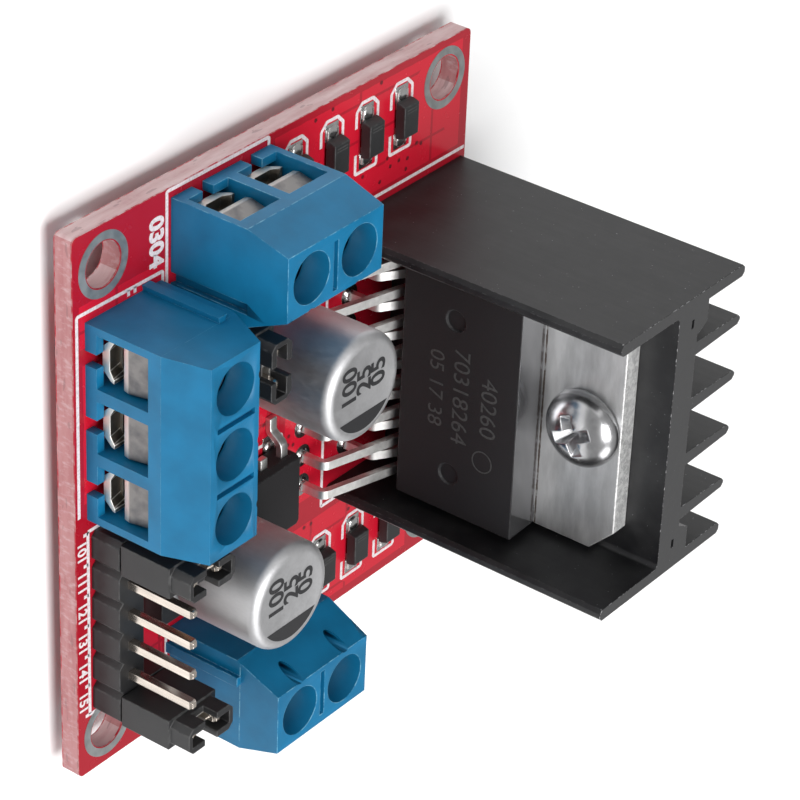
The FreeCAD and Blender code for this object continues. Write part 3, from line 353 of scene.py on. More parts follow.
finishes = {
    "board": boardFinish(),
    "leaf": leafFinish(),
    "print": printFinish("whitePrint", (0.76, 0.68, 0.70)),
    "mark": printFinish("blackPrint", (0.022, 0.022, 0.024), 0.15, 0.42),
    "faint": printFinish("faintMark", (0.055, 0.055, 0.055), 0.2, 0.6),
    "via": printFinish("viaMask", (0.16, 0.006, 0.012), 0.2, 0.3),
    "ring": metalFinish("tinRing", (0.46, 0.48, 0.48), 0.55, spread=0.3),
    "heatsink": heatsinkFinish(),
    "chip": chipFinish(),
    "tab": tabFinish(),
    "zinc": metalFinish("zincScrew", (0.54, 0.54, 0.55), 0.24, scale=900, spread=0.3),
    "lead": metalFinish("tinnedLead", (0.86, 0.85, 0.83), 0.4, scale=2500, spread=0.2),
    "nickel": metalFinish("nickelPlate", (0.66, 0.63, 0.59), 0.26, (1, 1, 0.15), 1300, 0.3,
                          tint=(0.30, 0.28, 0.26)),
    "contact": contactFinish(),
    "pin": metalFinish("flashedPin", (0.78, 0.70, 0.62), 0.2, (1, 1, 0.08), 3000, 0.25),
    "solder": metalFinish("brightSolder", (0.70, 0.70, 0.69), 0.2, scale=1400, spread=0.3),
    "can": metalFinish("satinCan", (0.62, 0.62, 0.63), 0.5, (1, 1, 0.3), 5200, 0.10),
    "blue": plasticFinish("blueMoulding", (0.003, 0.155, 0.320), 0.45,
                          worn=(0.20, 0.45, 0.60), refraction=1.4),
    "black": plasticFinish("blackMoulding", (0.017, 0.017, 0.018), 0.42, 6000,
                           worn=(0.07, 0.07, 0.07)),
    "diode": plasticFinish("diodeEpoxy", (0.020, 0.020, 0.021), 0.48, 7000,
                           worn=(0.06, 0.06, 0.06)),
    "lens": plasticFinish("lampLens", (0.72, 0.66, 0.52), 0.22, 3000),
    "resistor": plasticFinish("glazedBlack", (0.02, 0.02, 0.022), 0.2, 3000),
    "ceramic": plasticFinish("firedCeramic", (0.42, 0.29, 0.17), 0.5, 5000),
}
print("finishes:", len(finishes))


def dress(piece, finish):
    piece.data.materials.clear()
    piece.data.materials.append(finishes[finish])


def newObject(name, data):
    made = bpy.data.objects.new(name, data)
    scene.collection.objects.link(made)
    return made


def makePiece(name, mesh, body="module", finish=None, stands=()):
    piece = newObject(name, mesh)
    if finish:
        dress(piece, finish)
    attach(piece, body)
    for node in stands:
        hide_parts(node)
    return piece


def meshFrom(bm, name):
    mesh = bpy.data.meshes.new(name)
    bm.to_mesh(mesh)
    bm.free()
    return mesh


def smoothMesh(bm, name, angle):
    # smooth faces, with edges past the angle kept sharp
    for face in bm.faces:
        face.smooth = True
    mesh = meshFrom(bm, name)
    mesh.set_sharp_from_angle(angle=math.radians(angle))
    return mesh


def bevel(bm, edges, width, steps=2, profile=0.5):
    return bmesh.ops.bevel(bm, geom=edges, offset=width * mm, offset_type="OFFSET", segments=steps,
                           profile=profile, affect="EDGES", clamp_overlap=True)


def around(centre, radius, angle):
    # a point on a circle
    return centre[0] + radius * math.cos(angle), centre[1] + radius * math.sin(angle)


def joinLoops(bm, lower, upper):
    # side faces between two loops with the same number of corners
    for index in range(len(lower)):
        after = (index + 1) % len(lower)
        bm.faces.new((lower[index], lower[after], upper[after], upper[index]))


def evaluated(piece):
    # a new mesh of the object as its modifiers leave it
    bpy.context.view_layer.update()
    graph = bpy.context.evaluated_depsgraph_get()
    return bpy.data.meshes.new_from_object(piece.evaluated_get(graph))


def softened(node, finish, edge, steps=2, sharp=25, creaseLevel=None, corner=0, form=None,
             after=None):
    # a merged copy of a solid, or of a form made from it, with its edges eased
    # the new narrow faces carry "wear"
    # creaseLevel is a height whose level edges are eased too, however slight they are
    # corner rounds the upright edges first
    # after is a block whose groove and probe holes are mended once the edges are eased
    bm = bmesh.new()
    bm.from_mesh(form or nodes[node].data)
    bmesh.ops.remove_doubles(bm, verts=bm.verts, dist=5e-6 if form else 0.5e-6)
    bmesh.ops.dissolve_limit(bm, angle_limit=math.radians(0.8), verts=bm.verts, edges=bm.edges)
    layer = bm.faces.layers.float.new("wear")
    if edge:
        sharpEdges = []
        for item in bm.edges:
            crease = creaseLevel and all(
                abs(vert.co.z - creaseLevel) < 0.02 * mm for vert in item.verts)
            angle = item.calc_face_angle(0)
            wanted = angle > math.radians(sharp) or crease and angle > 0.02
            if len(item.link_faces) == 2 and wanted:
                sharpEdges.append(item)
        if corner:
            upright = []
            for item in sharpEdges:
                line = item.verts[0].co - item.verts[1].co
                if abs(line.normalized().z) > 0.9:
                    upright.append(item)
            bevel(bm, upright, corner, 5)
            limit = math.radians(sharp)
            sharpEdges = [item for item in bm.edges if item.calc_face_angle(0) > limit]
        for face in bevel(bm, sharpEdges, edge, steps, 0.6)["faces"]:
            face[layer] = 1.0
    for face in bm.faces:
        face.smooth = True
    mesh = meshFrom(bm, node + "_eased")
    if after:
        mesh = mendedHousing(after, mesh)
    mesh.set_sharp_from_angle(angle=math.radians(38 if edge else 30))
    piece = makePiece(node + "_eased", mesh, bodyOf[node], finish, [node])
    if edge:
        weighted = piece.modifiers.new("even", "WEIGHTED_NORMAL")
        weighted.keep_sharp = True
    return piece


def addSolid(bm, first, second, place):
    # a closed solid between two outlines with the same number of corners
    loops = []
    for outline in (first, second):
        loops.append([bm.verts.new(place @ (Vector(point) * mm)) for point in outline])
    joinLoops(bm, *loops)
    bm.faces.new(loops[0][::-1])
    bm.faces.new(loops[1])


def closedForm(bm, name):
    bmesh.ops.recalc_face_normals(bm, faces=bm.faces)
    return meshFrom(bm, name)


def merged(mesh):
    bm = bmesh.new()
    bm.from_mesh(mesh)
    bmesh.ops.remove_doubles(bm, verts=bm.verts, dist=1e-6)
    bmesh.ops.dissolve_degenerate(bm, dist=1e-6, edges=bm.edges)
    bmesh.ops.triangulate(bm, faces=bm.faces)
    return meshFrom(bm, mesh.name + "_merged")


def reshaped(mesh, operation, form):
    # a mesh with closed forms joined to it or taken away from it
    piece = newObject("reshaped", merged(mesh))
    helper = newObject("tool", form)
    step = piece.modifiers.new("step", "BOOLEAN")
    step.object = helper
    step.operation = operation
    step.solver = "EXACT"
    made = evaluated(piece)
    for item in (helper, piece):
        bpy.data.objects.remove(item)
    return made


# terminal blocks: front middle of each block, turn and number of poles
blocks = {"power_terminal": ((-7.4, -20.35), 0, 3),
          "left_output_terminal": ((-21.0, -6.6), -90, 2),
          "right_output_terminal": ((21.4, -6.6), 90, 2)}
block = {"pitch": 5.08, "endExtra": 0.11, "depth": 7.6, "top": 10.0, "topBack": 5.95,
         "backHeight": 6.3, "frontHeight": 6.6, "draft": 0.15,
         "grooveTop": 6.7, "grooveFrom": 5.45, "grooveTo": 6.65, "grooveDepth": 0.7,
         "plugFrom": 6.1, "plugTo": 7.45, "plugFoot": 5.3, "plugHalf": 0.75,
         "cavityBack": 6.45, "cavityTop": 7.9,
         "probeY": 6.35, "probeRadius": 0.5, "probeFoot": 6.0, "probeSides": 24}


def blockPlace(name):
    corner, turn, poles = blocks[name]
    offsets = [block["pitch"] * (index - (poles - 1) / 2) for index in range(poles)]
    place = Matrix.Translation(Vector((*corner, boardTop)) * mm)
    return place @ Matrix.Rotation(math.radians(turn), 4, "Z"), offsets


def along(bm, outline, low, high, place):
    # a solid of one side outline (y, z) between two places along the block
    addSolid(bm, [(low, y, z) for y, z in outline], [(high, y, z) for y, z in outline], place)


def mendedHousing(name, form):
    # the groove ends level with the rib's top, and the probe holes are round and nearer the front
    # fills stand proud at first, and two trims a hair below the block's faces cut them flush
    place, offsets = blockPlace(name)
    half = block["pitch"] * len(offsets) / 2 + block["endExtra"]
    hair, proud, back = 0.002, block["top"] + 1.5, block["depth"]
    fills = bmesh.new()
    near, far, foot = block["grooveFrom"], block["grooveTo"], block["grooveTop"]
    along(fills, ((near, foot), (far, foot), (far, proud), (near, proud)),
          half - block["grooveDepth"], half + 0.4, place)
    near, far, foot = block["plugFrom"], block["plugTo"], block["plugFoot"]
    plug = ((near, block["cavityTop"]), (near, proud), (far, proud), (far, foot),
            (block["cavityBack"], foot), (block["cavityBack"], block["cavityTop"]))
    for offset in offsets:
        along(fills, plug, offset - block["plugHalf"], offset + block["plugHalf"], place)
    over = bmesh.new()
    along(over, ((-1, block["top"] - hair), (block["topBack"] - hair / 2, block["top"] - hair),
                 (back - hair, block["backHeight"] - hair), (back - hair, -1), (back + 2, -1),
                 (back + 2, proud + 1), (-1, proud + 1)), -half - 2, half + 2, place)
    beyond = bmesh.new()
    side, slant = half - hair, half - block["draft"] - hair
    outline = ((side, -1), (side, block["frontHeight"]), (slant, block["top"]),
               (slant, proud + 1), (half + 2, proud + 1), (half + 2, -1))
    addSolid(beyond, [(x, -1, z) for x, z in outline],
             [(x, back + 2, z) for x, z in outline], place)
    drills = bmesh.new()
    for offset in offsets:
        rounds = []
        for step in range(block["probeSides"]):
            angle = 2 * math.pi * (step + 0.3) / block["probeSides"]
            rounds.append(around((offset, block["probeY"]), block["probeRadius"], angle))
        addSolid(drills, [(x, y, block["probeFoot"]) for x, y in rounds],
                 [(x, y, block["top"] + 1) for x, y in rounds], place)
    form = reshaped(form, "UNION", closedForm(fills, "fills"))
    for cutter in (over, beyond, drills):
        form = reshaped(form, "DIFFERENCE", closedForm(cutter, "cutter"))
    return form


# front of each contact: a tray with cut corners in place of the plain lip
tray = {"front": 0.75, "back": 2.2, "dip": 0.3, "dipHalf": 1.35, "cutFront": -0.2,
        "cutBack": 2.05, "cutFoot": 0.6, "cutTop": 2.4, "cutHalf": 2.2}
trayOuter = ((-1.7, 1.86), (-1.62, 1.62), (-0.9, 0.85), (0.9, 0.85), (1.62, 1.62), (1.7, 1.86))
trayInner = ((1.4, 1.86), (1.3, 1.8), (0.8, 1.5), (-0.8, 1.5), (-1.3, 1.8), (-1.4, 1.86))


def contactForm(name):
    place, offsets = blockPlace(name)
    cuts = bmesh.new()
    front, back, foot, top = (tray["cut" + side] for side in ("Front", "Back", "Foot", "Top"))
    for offset in offsets:
        along(cuts, ((front, foot), (back, foot), (back, top), (front, top)),
              offset - tray["cutHalf"], offset + tray["cutHalf"], place)
    kept = reshaped(nodes[name + "_contacts"].data, "DIFFERENCE", closedForm(cuts, "cuts"))
    bm = bmesh.new()
    for offset in offsets:
        front = [(x + offset, tray["front"], z) for x, z in trayOuter + trayInner]
        back = [(x + offset, tray["back"], z) for x, z in trayOuter]
        for x, z in trayInner:
            dip = tray["dip"] if abs(x) < tray["dipHalf"] else 0
            back.append((x + offset, tray["back"], z - dip))
        addSolid(bm, front, back, place)
    bmesh.ops.recalc_face_normals(bm, faces=bm.faces)
    bm.from_mesh(kept)
    return meshFrom(bm, name + "_tray")


# start or ending of a node's name, its finish and the width of its eased edges
easing = (
    ("heatsink_solder", "lead", 0.04), ("heatsink", "heatsink", 0.07),
    ("driver_chip_body", "chip", 0.10), ("driver_chip_tab", "tab", 0.10),
    ("regulator_body", "chip", 0.10), ("regulator_tab", "tab", 0.06),
    ("power_led", "lens", 0.06), ("led_resistor", "resistor", 0.06), ("ceramic", "ceramic", 0.08),
)
endings = (
    ("header_housing", "black", 0.07), ("header_housings", "black", 0.07),
    ("shunt_housing", "black", 0.10), ("_clip", "lead", 0.03),
    ("header_pins", "pin", 0.05), ("_base", "black", 0.12), ("_terminals", "lead", 0.04),
    ("diode_bodies", "diode", 0.08), ("diode_leads", "lead", 0.03),
)
handMade = ("driver_chip_outer_leads", "driver_chip_inner_leads", "chip_screw", "solder_joints",
            "supply_capacitor_can", "logic_capacitor_can", "regulator_leads")
for name in sorted(nodes):
    if name in handMade:
        continue
    chosen = [rule for rule in easing if name.startswith(rule[0])]
    chosen += [rule for rule in endings if name.endswith(rule[0])]
    if "_leaf_" in name:
        chosen.append(("", "leaf", 0.07))
    if "_screw_" in name:
        chosen.append(("", "nickel", 0.07))
    if name.endswith("terminal_housing"):
        softened(name, "blue", 0.10, sharp=14, after=name.removesuffix("_housing"),
                 creaseLevel=(boardTop + block["frontHeight"]) * mm)
    elif name.endswith("_contacts"):
        softened(name, "contact", 0.05, form=contactForm(name.removesuffix("_contacts")))
    elif name == "circuit_board":
        softened(name, "board", 0.03, steps=1, sharp=60, corner=0.45)
    else:
        softened(name, chosen[0][1], chosen[0][2])
print("eased copies made")


class Shape(Tree):
    # a geometry tree with named sizes; make() turns it into a plain mesh
    def __init__(self, name, **sizes):
        self.tree = bpy.data.node_groups.new(name, "GeometryNodeTree")
        self.tree.interface.new_socket("Base", in_out="INPUT", socket_type="NodeSocketGeometry")
        self.keys = {}
        for label, value in sizes.items():
            kind = "NodeSocketInt" if isinstance(value, int) else "NodeSocketFloat"
            socket = self.tree.interface.new_socket(label, in_out="INPUT", socket_type=kind)
            socket.default_value = value
            self.keys[label] = socket.identifier
        self.tree.interface.new_socket("Shape", in_out="OUTPUT", socket_type="NodeSocketGeometry")
        self.start = self.tree.nodes.new("NodeGroupInput")
        self.end = self.tree.nodes.new("NodeGroupOutput")

    def size(self, label):
        return Value(self, self.start.outputs[label])

    def section(self):
        # the flat rectangle that is swept along a line
        return self.node("GeometryNodeCurvePrimitiveQuadrilateral", values={
            "Width": self.size("Width"), "Height": self.size("Thickness")})

    def random(self, low, high):
        return self.node("FunctionNodeRandomValue", {"data_type": "FLOAT"}, {
            2: low, 3: high, "Seed": self.size("Seed")}, out=1)

    def close(self, shape, finish):
        solid = self.node("GeometryNodeRealizeInstances", values={"Geometry": shape})
        painted = self.node("GeometryNodeSetMaterial", values={
            "Geometry": solid, "Material": finishes[finish]})
        self.tree.links.new(painted.socket, self.end.inputs["Shape"])

    def make(self, name, points, lines=(), quads=(), stands=(), **sizes):
        mesh = bpy.data.meshes.new(name)
        mesh.from_pydata([Vector(point) * mm for point in points], lines, quads)
        piece = newObject(name, mesh)
        shaping = piece.modifiers.new("shape", "NODES")
        shaping.node_group = self.tree
        for label, value in sizes.items():
            shaping[self.keys[label]] = value
        made = evaluated(piece)
        piece.modifiers.clear()
        made.set_sharp_from_angle(angle=math.radians(34))
        piece.data = made
        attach(piece, "module")
        for node in stands:
            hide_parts(node)
        return piece


def strips(finish, name):
    # a flat strip that follows every line of the base, with rounded corners
    shape = Shape(name, Width=0.0002, Thickness=0.00002, Bend=0.0002, Steps=3)
    line = shape.node("GeometryNodeMeshToCurve", values={"Mesh": shape.size("Base")})
    line = shape.node("GeometryNodeFilletCurve", {"mode": "POLY"}, {
        "Curve": line, "Count": shape.size("Steps"), "Radius": shape.size("Bend"),
        "Limit Radius": True})
    swept = shape.node("GeometryNodeCurveToMesh", values={
        "Curve": line, "Profile Curve": shape.section(), "Fill Caps": True})
    shape.close(swept, finish)
    return shape


def rings(finish, name):
    # a flat ring round every point of the base
    shape = Shape(name, Radius=0.0022, Width=0.0004, Thickness=0.00003, Sides=40)
    line = shape.node("GeometryNodeCurvePrimitiveCircle", {"mode": "RADIUS"}, {
        "Radius": shape.size("Radius"), "Resolution": shape.size("Sides")})
    ring = shape.node("GeometryNodeCurveToMesh", values={
        "Curve": line, "Profile Curve": shape.section()})
    placed = shape.node("GeometryNodeInstanceOnPoints", values={
        "Points": shape.size("Base"), "Instance": ring})
    shape.close(placed, finish)
    return shape


def joinedLines(paths, height):
    points, lines = [], []
    for path in paths:
        first = len(points)
        points += [(x, y, height) for x, y in path]
        lines += [(first + index, first + index + 1) for index in range(len(path) - 1)]
    return points, lines


# printed lines on the board; those of the diodes lie a little past the middle of each row
header = {"x": 2.75, "y": -18.7, "pitch": 2.54, "pins": 6, "labelY": -20.95}
printed = {"height": boardTop + 0.012, "width": 0.27 * mm, "diodeReach": 2.75, "diodeHalf": 1.22,
           "diodeColumns": (-17.55, 17.3), "diodeRows": (1.33, 5.33, 9.33, 13.33),
           "shift": 0.06, "corner": 0.6, "leftGap": 0.9, "rightGap": 1.2}
paths = [
    [(-14.2, -12.2), (-21.6, -12.2), (-21.6, -1.6), (-13.2, -1.6)],
    [(13.2, -12.2), (21.45, -12.2), (21.45, -1.2), (13.2, -1.2)],
    [(-0.1, -21.15), (-15.85, -21.15), (-15.75, -12.6), (-0.2, -12.6)],
    [(-15.75, -16.04), (-15.3, -16.04)], [(-15.75, -15.4), (-15.3, -15.4)],
    [(-12.05, 5.4), (-12.05, 21.35)], [(12.05, 5.4), (12.05, 21.35)], [(-12.05, 5.4), (12.05, 5.4)],
    [(1.35, -20.3), (16.7, -20.3)], [(1.35, -17.3), (1.35, -20.3)],
    [(16.75, -20.3), (16.75, -17.3)],
    [(-13.2, -11.95), (-7.6, -11.95), (-7.6, -9.05), (-13.2, -9.05), (-13.2, -11.95)],
    [(-11.0, -6.4), (-11.0, 0.0), (-9.6, 1.4), (-1.6, 1.4), (-1.6, -7.8)],
    [(2.55, -13.8), (2.55, -7.4), (4.0, -6.0), (12.0, -6.0), (12.0, -15.4), (4.0, -15.4),
     (2.55, -13.8)],
    [(3.3, -7.0), (3.3, 0.5), (10.6, 0.5), (10.6, -7.0)],
    [(-6.9, -11.6), (-3.9, -11.6), (-3.9, -9.6), (-6.9, -9.6)],
    [(-1.1, -9.6), (-4.1, -9.6)], [(-1.1, -11.6), (-4.1, -11.6)],
]
for index in range(header["pins"] + 1):
    x = header["x"] + header["pitch"] * (index - 0.5)
    paths.append([(x, -20.3), (x, -20.75)])
for centre in printed["diodeColumns"]:
    left, right = centre - printed["diodeReach"], centre + printed["diodeReach"]
    inLeft, inRight = centre - printed["leftGap"], centre + printed["rightGap"]
    corner, shift, half = (printed[key] for key in ("corner", "shift", "diodeHalf"))
    for row in printed["diodeRows"]:
        low, high = row + shift - half, row + shift + half
        paths.append([(inLeft, low), (left + corner, low), (left, low + corner),
                      (left, high - corner), (left + corner, high), (inLeft, high)])
        paths.append([(inRight, low), (right, low), (right, high), (inRight, high)])
points, lines = joinedLines(paths, printed["height"])
strips("print", "printedLine").make("printed_lines", points, lines, Width=printed["width"],
                                    Thickness=0.024 * mm, Bend=0.15 * mm)
diodeLines = []
for centre in printed["diodeColumns"]:
    for row in printed["diodeRows"]:
        for offset in (0.95, 0.72):
            diodeLines.append([(centre - offset, row - 0.6), (centre - offset, row + 0.6)])
points, lines = joinedLines(diodeLines, boardTop + 1.056)
strips("faint", "diodeBand").make("diode_bands", points, lines, Width=0.09 * mm,
                                  Thickness=0.012 * mm, Bend=0.01 * mm)
print("printed lines made")

# rings of bare tin round the holes, above and below
mounting = {"x": 18.75, "y": 18.5, "radius": 2.1 * mm, "width": 0.65 * mm}
corners = [(side * mounting["x"], other * mounting["y"]) for side in (-1, 1) for other in (-1, 1)]
places = [(x, y, boardTop + 0.012) for x, y in corners]
places += [(x, y, boardUnder - 0.012) for x, y in corners]
rings("ring", "mountingRing").make("mounting_rings", places, Radius=mounting["radius"],
                                   Width=mounting["width"], Thickness=0.03 * mm, Sides=56)

# where leads and pins pass through the board
chipLeads = {"pitch": 2.54, "outerY": 2.92, "innerY": 8.0, "outer": 8, "inner": 7}


def leadRow(count, y):
    return [(chipLeads["pitch"] * (index - (count - 1) / 2), y) for index in range(count)]


outerRow = leadRow(chipLeads["outer"], chipLeads["outerY"])
innerRow = leadRow(chipLeads["inner"], chipLeads["innerY"])
headerRow = []
for index in range(header["pins"]):
    headerRow.append((header["x"] + header["pitch"] * index, header["y"]))
extraPins = [(2.75, -16.16), (15.45, -16.16), (-11.67, -10.5), (-9.13, -10.5)]
terminalPins = [(-12.48, -16.85), (-7.4, -16.85), (-2.32, -16.85), (-17.5, -9.14), (-17.5, -4.06),
                (17.9, -9.14), (17.9, -4.06)]
sinkPins = [(-9.2, 14.9), (9.2, 14.9)]
rings("solder", "leadRing").make(
    "lead_rings", [(x, y, boardTop + 0.015) for x, y in outerRow + innerRow],
    Radius=0.72 * mm, Width=0.4 * mm, Thickness=0.03 * mm, Sides=20)


def cones(finish, name):
    # a hollow-sided cone of solder on every point, each a little different
    shape = Shape(name, Foot=0.00095, Tip=0.00042, Height=0.0009, Direction=-1.0, Spread=0.1,
                  Seed=4)
    cone = shape.node("GeometryNodeMeshCone", {"fill_type": "NGON"}, {
        "Vertices": 18, "Side Segments": 5, "Radius Top": shape.size("Tip"),
        "Radius Bottom": shape.size("Foot"), "Depth": shape.size("Height")})
    x, y, z = shape.split(shape.node("GeometryNodeInputPosition"))
    rise = z / shape.size("Height")
    pull = 1 - rise * (1 - rise) * 1.1
    hollow = shape.node("ShaderNodeCombineXYZ", values={
        "X": x * pull, "Y": y * pull, "Z": z * shape.size("Direction")})
    cone = shape.node("GeometryNodeSetPosition", values={"Geometry": cone, "Position": hollow})
    cone = shape.node("GeometryNodeSetShadeSmooth", values={"Geometry": cone})
    low = 1 - shape.size("Spread")
    swell = shape.random(low, 1.0)
    placed = shape.node("GeometryNodeInstanceOnPoints", values={
        "Points": shape.size("Base"), "Instance": cone,
        "Scale": shape.node("ShaderNodeCombineXYZ", values={"X": swell, "Y": swell, "Z": low})})
    shape.close(placed, finish)
    return shape


allPins = headerRow + extraPins + terminalPins + outerRow + innerRow + sinkPins
solder = cones("solder", "solderCone")
solder.make("solder_cones", [(x, y, boardUnder) for x, y in allPins], stands=["solder_joints"],
            Foot=0.98 * mm, Tip=0.46 * mm, Height=0.95 * mm)
solder.make("lead_fillets", [(x, y, boardTop + 0.02) for x, y in outerRow + innerRow],
            Foot=0.72 * mm, Tip=0.44 * mm, Height=0.35 * mm, Direction=1.0)
for name in ("solder_cones", "lead_fillets"):
    bm = bmesh.new()
    bm.from_mesh(bpy.data.objects[name].data)
    bmesh.ops.remove_doubles(bm, verts=bm.verts, dist=1e-7)
    bmesh.ops.recalc_face_normals(bm, faces=bm.faces)
    bm.to_mesh(bpy.data.objects[name].data)
    bm.free()
print("rings and solder made")

# small plated holes under the mask, scattered over the free copper
scatter = {"Density": 0.55e6, "Radius": 0.17 * mm, "Seed": 11}
fields = ((-21.3, -0.7, -20.9, 15.6), (-14.9, -0.6, -12.6, 16.0), (12.7, 1.0, 14.2, 15.0),
          (-3.2, -8.8, 2.2, -1.4), (12.5, -15.6, 20.5, -12.7), (-10.8, 0.9, 10.8, 2.0))
vias = Shape("scatteredVias", **scatter)
spots = vias.node("GeometryNodeDistributePointsOnFaces", {"distribute_method": "RANDOM"}, {
    "Mesh": vias.size("Base"), "Density": vias.size("Density"), "Seed": vias.size("Seed")})
disc = vias.node("GeometryNodeMeshCircle", {"fill_type": "NGON"}, {
    "Vertices": 10, "Radius": vias.size("Radius")})
dots = vias.node("GeometryNodeInstanceOnPoints", values={"Points": spots, "Instance": disc})
vias.close(dots, "via")
points, quads = [], []
for left, bottom, right, top in fields:
    first = len(points)
    outline = ((left, bottom), (right, bottom), (right, top), (left, top))
    points += [(x, y, boardTop + 0.006) for x, y in outline]
    quads.append((first, first + 1, first + 2, first + 3))
vias.make("via_dots", points, quads=quads)

# leads of the driver chip and the regulator, swept along their bends
bent = {"width": 0.7 * mm, "thickness": 0.5 * mm, "bend": 0.5 * mm, "plane": 10.45, "top": 7.75}


def leadLines(row, knee):
    points, lines = [], []
    for x, y in row:
        first = len(points)
        points += [(x, bent["plane"], bent["top"]), (x, bent["plane"], bent["top"] - 0.5),
                   (x, y, boardTop + knee), (x, y, 0.02)]
        lines += [(first + index, first + index + 1) for index in range(3)]
    return points, lines


swept = strips("lead", "bentLead")
for name, row, knee in (("outer", outerRow, 2.1), ("inner", innerRow, 2.6)):
    points, lines = leadLines(row, knee)
    swept.make("driver_%s_leads" % name, points, lines, stands=["driver_chip_%s_leads" % name],
               Width=bent["width"], Thickness=bent["thickness"], Bend=bent["bend"], Steps=5)
print("leads made")


def turned(name, profile, sides, centre, finish, stands):
    # a closed turned form round a vertical axis; profile is (radius, height) from foot to top
    bm = bmesh.new()
    loops = []
    for radius, height in profile:
        loop = []
        for index in range(sides):
            point = (*around(centre, radius, 2 * math.pi * index / sides), height)
            loop.append(bm.verts.new(Vector(point) * mm))
        loops.append(loop)
    for lower, upper in zip(loops, loops[1:]):
        joinLoops(bm, lower, upper)
    bm.faces.new(loops[0][::-1])
    bm.faces.new(loops[-1])
    return makePiece(name, smoothMesh(bm, name, 32), finish=finish, stands=stands)


# capacitor cans, with a rolled groove and a rounded rim
can = {"radius": 4.1, "foot": 3.7, "top": 13.3, "rim": 0.75, "groove": 5.95, "grooveDepth": 0.34,
       "grooveHalf": 0.45, "markRadius": 3.5, "chord": 1.95}
profile = [(can["radius"] - 0.15, can["foot"]), (can["radius"], can["foot"] + 0.15)]
for step in range(9):
    across = -1 + step / 4
    dip = can["grooveDepth"] * (0.5 + 0.5 * math.cos(math.pi * across))
    profile.append((can["radius"] - dip, can["groove"] + can["grooveHalf"] * across))
for step in range(8):
    angle = math.pi / 2 * step / 7
    profile.append(around((can["radius"] - can["rim"], can["top"] - can["rim"]), can["rim"], angle))
profile.append((can["radius"] - can["rim"] - 0.12, can["top"] - 0.03))
cans = {"supply": (-6.3, -3.2), "logic": (7.25, -10.65)}
for name, centre in cans.items():
    turned(name + "_can_turned", profile, 96, centre, "can", [name + "_capacitor_can"])


def printedDigits(bm, words, x, y, z, size, turn, weight):
    # adds flat digits; weight thickens them by a share of their size
    line = bpy.data.curves.new("digits", "FONT")
    line.body = words
    line.size = size * mm
    line.offset = size * weight * mm
    line.align_x = "CENTER"
    line.align_y = "CENTER"
    piece = newObject("digits", line)
    mesh = evaluated(piece)
    spin = Matrix.Rotation(math.radians(turn), 4, "Z")
    mesh.transform(Matrix.Translation(Vector((x, y, z)) * mm) @ spin)
    bm.from_mesh(mesh)
    bpy.data.objects.remove(piece)
    bpy.data.curves.remove(line)
    bpy.data.meshes.remove(mesh)


# dark segment and plain digits on each can
bm = bmesh.new()
for centre in cans.values():
    level = can["top"] - 0.02
    limit = math.acos(can["chord"] / can["markRadius"])
    outline = []
    for step in range(25):
        angle = -limit + 2 * limit * step / 24
        point = (*around(centre, can["markRadius"], angle), level)
        outline.append(bm.verts.new(Vector(point) * mm))
    bm.faces.new(outline)
    for words, shift in (("100", -1.6), ("25", 0.0), ("05", 1.55)):
        printedDigits(bm, words, centre[0] - 0.75, centre[1] + shift, level, 2.15, 180, 0.025)
makePiece("can_marks", meshFrom(bm, "can_marks"), finish="mark")

# plain digits on the board
bm = bmesh.new()
level = boardTop + 0.014
for index, (x, y) in enumerate(headerRow):
    printedDigits(bm, str(101 + index * 10), x, header["labelY"], level, 1.2, 0, 0.03)
for words, x, y in (("0304", -18.2, -13.3), ("0102", 18.0, -13.3), ("1", -12.6, -12.0),
                    ("2", -7.4, -12.0)):
    printedDigits(bm, words, x, y, level, 1.9, 0, 0.045)
makePiece("board_digits", meshFrom(bm, "board_digits"), finish="print")
print("cans and digits made")


def tiles(name, places, finish, thickness=0.05, edge=0.02):
    # thin plates on the board, each with its middle x and y, length and width
    bm = bmesh.new()
    for x, y, length, width in places:
        size = Matrix.Diagonal(Vector((length, width, thickness, 1)) * mm)
        size[3][3] = 1
        bmesh.ops.create_cube(bm, size=1, matrix=Matrix.Translation(
            Vector((x, y, boardTop + thickness / 2)) * mm) @ size)
    bevel(bm, list(bm.edges), edge)
    return makePiece(name, smoothMesh(bm, name, 50), finish=finish)


# solder pads in pairs under the small parts: middle x and y, reach of the pads and of the
# mounds on them (0 for none), length and width
pairs = []
for centre in printed["diodeColumns"]:
    pairs += [(centre, row, 1.85, 1.8, 1.3, 1.5) for row in printed["diodeRows"]]
pairs += [(x, y, 4.6, 4.6, 1.8, 1.5) for x, y in cans.values()]
smallParts = ((-5.4, -10.6), (-2.6, -10.6), (0.6, -10.6), (0.6, -8.2))
pairs += [(x, y, 1.0, 0, 1.0, 1.3) for x, y in smallParts]
pads = []
blobs = []
for x, y, reach, mound, length, width in pairs:
    for side in (-1, 1):
        pads.append((x + side * reach, y, length, width))
        if mound:
            blobs.append((x + side * mound, y, boardTop + 0.1))
regulator = {"leadsEnd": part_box("regulator_leads")[1].x / mm, "y": -3.3, "leadY": 2.28}
for side in (-1, 1):
    y = regulator["y"] + side * regulator["leadY"]
    pads.append((regulator["leadsEnd"] - 0.7, y, 1.8, 1.3))
    blobs.append((regulator["leadsEnd"] - 0.6, y, boardTop + 0.15))
tiles("solder_pads", pads, "solder")

